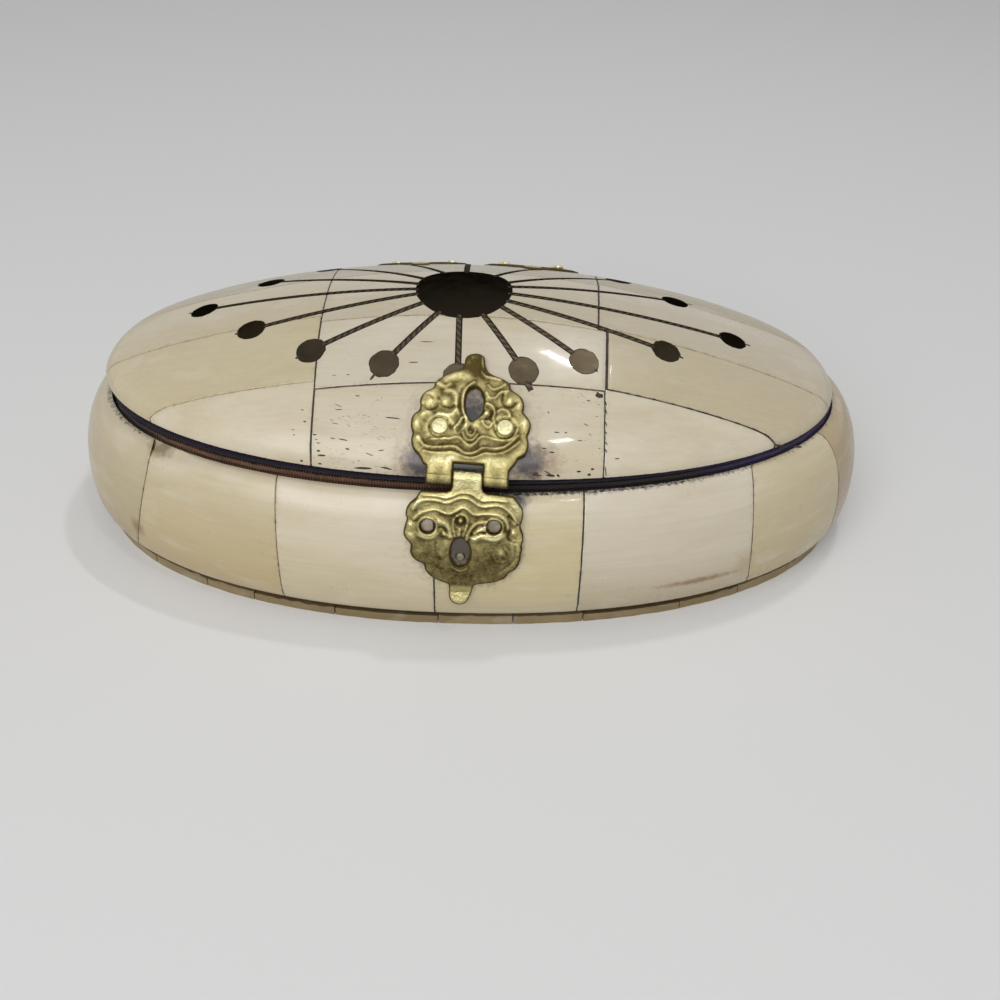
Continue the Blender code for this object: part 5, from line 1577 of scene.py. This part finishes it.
def flap_stamp(points, from_edge):
    """Stamp the flap's pattern, with a ring round each empty nail hole and its right side lifted; its tab,
    top and knuckle strap get painted highlight and its lower half painted shade.
    """
    u, s = points[:, 0], points[:, 1]
    marks = smooth(FLAP_MARKS)
    for place_u, place_s in FLAP_HOLES:
        marks.append((0.3, 0.3, ellipse(place_u, place_s, 1.8, 1.8, 24) + [(place_u + 1.8, place_s)]))
    height, rubbed_and_lit = press(points, marks)
    swell, shine = lobes(points, from_edge)
    fade = 1 - 0.55 * np.clip((s - 12.0) / 3.0, 0, 1)
    # Painted shade: the lower half of the flap, which turns downwards, is darker.
    tarnish = 0.26 * np.clip((s - 11.5) / 4.5, 0, 1) * np.clip((23.0 - s) / 0.5, 0, 1)
    # Painted highlight on the tab, which is bent out towards the light, on the knuckle strap and on the
    # flap's upper part.
    bright = 0.15 * np.clip((s - 22.7) / 0.5, 0, 1) + 0.12 * np.clip((1.9 - s) / 0.6, 0, 1)
    bright += 0.18 * np.clip((7.5 - s) / 2.0, 0, 1)
    lift = 0.3 * np.clip((u - 8.6) / 3.0, 0, 1) * np.clip((s - 10.5) / 3.0, 0, 1)
    return (height + swell) * fade, (rubbed_and_lit + shine) * fade - tarnish + bright, lift


def hinge_stamp(points, from_edge):
    """The same pattern as on the flap, struck a little flatter, with the flap's painted highlight and
    shade.
    """
    height, rubbed_and_lit, lift = flap_stamp(points, from_edge)
    return height * 0.7, rubbed_and_lit + 0.05, lift * 0.0


class BOX_OT_latch(bpy.types.Operator):
    """Stamp the latch plate and its flap, pin them together and nail the plate to the lid"""
    bl_idname = "keepsake.latch"
    bl_label = "Latch"

    def execute(self, context):
        brass = context.scene.keepsake_brass
        lid_place = leaf_place(LATCH_X + LATCH_SHIFT, -1, True, LATCH_LEAN)
        flap_place = leaf_place(LATCH_X + LATCH_SHIFT, -1, False, LATCH_LEAN, FINGER_BEND)
        stamped = stamped_brass_material("stamped_brass_latch", brass)
        bright = plain_metal_material("struck_brass_nail", brass.bright, 0.36)
        steel = plain_metal_material("drawn_pin", linear("#8C857A"), 0.4)
        bm, rubbed_and_lit = stamped_leaf(lid_place, plate_loops(), plate_stamp, brass)
        plate = piece("brass_latch_plate", bm, stamped, "lid", ["latch_plate"], LEAF_SHARP)
        paint(plate, "rubbed_and_lit", rubbed_and_lit)
        bm, rubbed_and_lit = stamped_leaf(flap_place, flap_loops(), flap_stamp, brass)
        flap = piece("brass_latch_flap", bm, stamped, "flap", ["latch_flap"], LEAF_SHARP)
        paint(flap, "rubbed_and_lit", rubbed_and_lit)
        piece("latch_pin_drawn", pin(lid_place, 8.0, 0.05), steel, "lid", ["latch_pin"])
        for (u, s), ending in zip(PLATE_NAILS, ("_a", "_b")):
            piece("brass_latch_nail" + ending, nail(lid_place, u, s, LATCH_NAIL_HEAD), bright, "lid",
                  ["latch_nail" + ending])
        dulled = plain_metal_material("dulled_steel_stud", linear("#8F8672"), 0.5)
        stud = nail(flap_place, -0.1, KEYHOLE_PLACE, STUD_RADIUS, 0.05 - SEAT_GAP)
        piece("steel_catch_stud", stud, dulled, "box", ["catch_stud"])
        return {"FINISHED"}


class BOX_OT_hinges(bpy.types.Operator):
    """Stamp the four leaves of the two rear hinges, pin them and nail them down"""
    bl_idname = "keepsake.hinges"
    bl_label = "Hinges"

    def execute(self, context):
        brass = context.scene.keepsake_brass
        stamped = stamped_brass_material("stamped_brass_hinge", brass)
        bright = plain_metal_material("struck_brass_hinge_nail", brass.bright, 0.35)
        steel = plain_metal_material("drawn_hinge_pin", linear("#8C857A"), 0.4)
        holes = [ellipse(0.0, KEYHOLE_PLACE, 1.75, 3.2, 32)]
        holes += [ellipse(side * NAIL_SPREAD / 2, NAIL_PLACE, 0.9, 0.9, 20) for side in (-1, 1)]
        for word, x in (("left", -HINGE_SPACING / 2), ("right", HINGE_SPACING / 2)):
            for part, body, on_lid in (("lid", "lid", True), ("body", "box", False)):
                place = leaf_place(x, 1, on_lid)
                node = "hinge_%s_leaf_%s" % (part, word)
                loops = [leaf_outline(not on_lid)] + holes
                bm, rubbed_and_lit = stamped_leaf(place, loops, hinge_stamp, brass, 0.3, 0.45)
                for corner in bm.verts if on_lid else ():
                    share = min(max((corner.co.z - 38.0) / 5.0, 0.0), 1.0)
                    corner.co.z -= (0.28 + LID_SAG * corner.co.x) * share
                leaf = piece("brass_" + node, bm, stamped, body, [node], LEAF_SHARP)
                paint(leaf, "rubbed_and_lit", rubbed_and_lit)
                for side, ending in ((-1, "_a"), (1, "_b")):
                    node = "hinge_%s_nail_%s%s" % (part, word, ending)
                    piece("brass_" + node, nail(place, side * NAIL_SPREAD / 2, NAIL_PLACE), bright, body,
                          [node])
            piece("hinge_pin_drawn_" + word, pin(place, 8.0), steel, "box", ["hinge_pin_" + word])
        return {"FINISHED"}


# Wood and cloth

class BOX_OT_wood(bpy.types.Operator):
    """Give the wooden cores and the foot board their sawn wood"""
    bl_idname = "keepsake.wood"
    bl_label = "Wood"

    def execute(self, context):
        wood = wood_material("sawn_rosewood", context.scene.keepsake_cloth)
        for name in ("body_core", "foot_board"):
            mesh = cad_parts[name].data
            mesh.materials.clear()
            mesh.materials.append(wood)
        profile = dome_profile(LID_HALF_LENGTH - BONE - GAP, 20, BONE + GAP)
        profile += [(profile[-1][0], LID_WOOD_EDGE + 0.2), (profile[-1][0] - 0.2, LID_WOOD_EDGE)]
        inner = RIM_SETBACK + WOOD_RIM_WIDTH
        hollow = dome_profile(LID_HALF_LENGTH - inner, 16, inner)
        profile += [(hollow[-1][0] + 0.1, LID_WOOD_EDGE)] + [(hollow[-1][0], LID_WOOD_EDGE + 0.2)]
        profile += list(reversed(hollow))
        slimmer = (LID_HALF_DEPTH - 4.0) / (LID_HALF_LENGTH - 4.0)
        bm = oval_spin(profile, lambda out: out * slimmer, steps=192)
        bmesh.ops.remove_doubles(bm, verts=bm.verts, dist=0.01)
        bmesh.ops.recalc_face_normals(bm, faces=bm.faces)
        core = piece("wood_lid_core", bm, wood, "lid", ["lid_core"])
        settle(core, 0.5)
        return {"FINISHED"}


def seam_soil_and_shade(point, half_length, half_depth):
    """Darkening of the lap of velvet that shows in the seam, less towards the right end: painted shade of
    the narrow seam, with some dirt.
    """
    across, along = abs(point[0]) / half_length, abs(point[1]) / half_depth
    reach = across ** OUTLINE_POWER + along ** OUTLINE_POWER
    edge = min(max((reach - 0.9) / 0.06, 0.0), 1.0) if point[2] > 32.0 else 0.0
    return edge * float(np.interp(point[0], (35.0, 60.0), (0.97, 0.35)))


class BOX_OT_lining(bpy.types.Operator):
    """Line the well and the lid with velvet that laps over the wooden rim"""
    bl_idname = "keepsake.lining"
    bl_label = "Lining"

    def execute(self, context):
        velvet = velvet_material("purple_velvet_pile", context.scene.keepsake_cloth)
        lap = BODY_LENGTH / 2 - SHOULDER_INSET - RIM_SETBACK
        wall = lap - WOOD_RIM_WIDTH - GAP - 0.05
        floor = CAVITY_FLOOR + GAP + 0.55
        outline = [(lap, LAP_TOP - 0.35), (lap - 0.3, LAP_TOP - 0.05), (lap - 3.0, LAP_TOP),
                   (wall, LAP_TOP), (wall - 0.55, LAP_TOP - 0.5), (wall - 0.55, 22.0),
                   (wall - 0.6, floor + 1.0), (wall - 1.6, floor), (wall - 20.0, floor),
                   (wall - 45.0, floor)]
        outline += [(out, floor) for out in (NARROWER + 10.0, NARROWER + 3.0)]
        bm = oval_spin(outline, lambda out: max(side_depth(out), 0.2), steps=240)
        bmesh.ops.holes_fill(bm, edges=[edge for edge in bm.edges if edge.is_boundary
                                        and edge.verts[0].co.z < floor + 0.1], sides=0)
        bmesh.ops.recalc_face_normals(bm, faces=bm.faces)
        for corner in bm.verts:
            if corner.co.z > 32.0:
                corner.co.z += 0.2 * noise.noise(corner.co * 0.5) - 0.003 * corner.co.x
        well = piece("velvet_well", bm, velvet, "box", ["body_lining"], 60.0)
        paint(well, "seam_shade_and_soil", [seam_soil_and_shade(point, lap, lap - NARROWER) for point in points_mm(well)])
        depth = RIM_SETBACK + WOOD_RIM_WIDTH + GAP + 0.5
        dome = dome_profile(LID_HALF_LENGTH - depth, 16, depth)
        dome += [(LID_HALF_LENGTH - depth, LID_WOOD_EDGE + 0.5)]
        slimmer = (LID_HALF_DEPTH - depth) / (LID_HALF_LENGTH - depth)
        bm = oval_spin(dome, lambda out: out * slimmer, steps=240)
        bmesh.ops.reverse_faces(bm, faces=bm.faces)
        hollow = piece("velvet_lid", bm, velvet, "lid", ["lid_lining"], 60.0)
        settle(hollow, 0.5)
        return {"FINISHED"}


# Stage

CAMERA_PLACE = (3.459, -213.645, 164.923)
CAMERA_FORWARD = (0.011912, 0.785917, -0.618217)
CAMERA_RIGHT = (0.999719, 0.003315, 0.023478)
CAMERA_FOCUS = 1101.075
PICTURE_WIDTH = 1000.0
SENSOR_WIDTH = 36.0
LAMP_TARGET = (0, 0, 0.03)


def area_light(name, place, size, power):
    """A lamp of a width and a height in metres that shines at the box."""
    light = bpy.data.lights.new(name, "AREA")
    light.shape = "RECTANGLE"
    light.size, light.size_y = size
    light.energy = power
    item = object_of(name, light)
    item.location = Vector(place)
    item.rotation_mode = "QUATERNION"
    item.rotation_quaternion = (Vector(LAMP_TARGET) - Vector(place)).to_track_quat("-Z", "Y")


class BOX_OT_stage(bpy.types.Operator):
    """Set the pale floor, the soft lamps and the camera"""
    bl_idname = "keepsake.stage"
    bl_label = "Stage"

    def execute(self, context):
        scene = context.scene
        scene.view_settings.view_transform = "Standard"
        bm = bmesh.new()
        bmesh.ops.create_grid(bm, x_segments=1, y_segments=1, size=3.0)
        floor = object_of("floor", mesh_of("floor", bm))
        paper = Surface("pale_paper_floor", Base_Color=(0.85, 0.85, 0.85, 1.0), Roughness=0.9)
        floor.data.materials.append(paper.material)
        world = bpy.data.worlds.new("studio")
        world.use_nodes = True
        tree = world.node_tree
        tree.nodes["Background"].inputs["Strength"].default_value = 0.28
        sky = add_node(tree, "Background", {"Color": (1, 1, 1, 1), "Strength": 1.0})
        paths = add_node(tree, "LightPath")
        clear = paths.outputs["Is Camera Ray"]
        for kind in ("Is Glossy Ray", "Is Transmission Ray"):
            clear = add_node(tree, "Math", {0: clear, 1: paths.outputs[kind]}, operation="MAXIMUM")
        seen = add_node(tree, "MixShader", {0: clear,
                                            1: tree.nodes["Background"].outputs[0], 2: sky.outputs[0]})
        tree.nodes["Background"].inputs["Color"].default_value = (1, 1, 1, 1)
        tree.links.new(seen.outputs[0], tree.nodes["World Output"].inputs["Surface"])
        scene.world = world
        area_light("front_softbox", (-0.25, -0.75, 0.75), (0.9, 0.9), 6.5)
        area_light("overhead_lamp", (0.17, 0.2, 0.75), (0.08, 0.02), 0.6)
        area_light("near_lamp", (0.17, -0.25, 0.75), (0.05, 0.02), 0.25)
        camera = bpy.data.cameras.new("photo_camera")
        camera.sensor_width = SENSOR_WIDTH
        camera.lens = SENSOR_WIDTH * CAMERA_FOCUS / PICTURE_WIDTH
        camera.clip_start, camera.clip_end = 0.01, 20.0
        item = object_of("photo_camera", camera)
        forward, right = Vector(CAMERA_FORWARD).normalized(), Vector(CAMERA_RIGHT).normalized()
        up = right.cross(forward)
        turn = Matrix((right, up, -forward)).transposed()
        item.matrix_world = Matrix.LocRotScale(Vector(CAMERA_PLACE) * MM, turn.to_quaternion(), None)
        scene.camera = item
        return {"FINISHED"}


STEPS = ("lid_bone", "sun", "side_bone", "foot", "wood", "lining", "latch", "hinges", "stage")


class BOX_PT_panel(bpy.types.Panel):
    """Sizes and colours of the box, and a button for each group of its pieces"""
    bl_idname = "BOX_PT_keepsake"
    bl_label = "Keepsake Box"
    bl_space_type = "VIEW_3D"
    bl_region_type = "UI"
    bl_category = "Keepsake Box"

    def draw(self, context):
        for settings in (context.scene.keepsake_bone, context.scene.keepsake_brass,
                         context.scene.keepsake_cloth):
            column = self.layout.column(align=True)
            for name in settings.__annotations__:
                column.prop(settings, name)
        for step in STEPS:
            self.layout.operator("keepsake." + step)


CLASSES = (BoneSettings, BrassSettings, ClothSettings, BOX_OT_lid_bone, BOX_OT_sun,
           BOX_OT_side_bone, BOX_OT_foot, BOX_OT_wood, BOX_OT_lining, BOX_OT_latch, BOX_OT_hinges,
           BOX_OT_stage, BOX_PT_panel)


def register():
    for part in CLASSES:
        bpy.utils.register_class(part)
    bpy.types.Scene.keepsake_bone = bpy.props.PointerProperty(type=BoneSettings)
    bpy.types.Scene.keepsake_brass = bpy.props.PointerProperty(type=BrassSettings)
    bpy.types.Scene.keepsake_cloth = bpy.props.PointerProperty(type=ClothSettings)


def unregister():
    del bpy.types.Scene.keepsake_cloth
    del bpy.types.Scene.keepsake_brass
    del bpy.types.Scene.keepsake_bone
    for part in reversed(CLASSES):
        bpy.utils.unregister_class(part)


def main():
    register()
    for step in STEPS:
        getattr(bpy.ops.keepsake, step)()


if __name__ == "__main__":
    main()
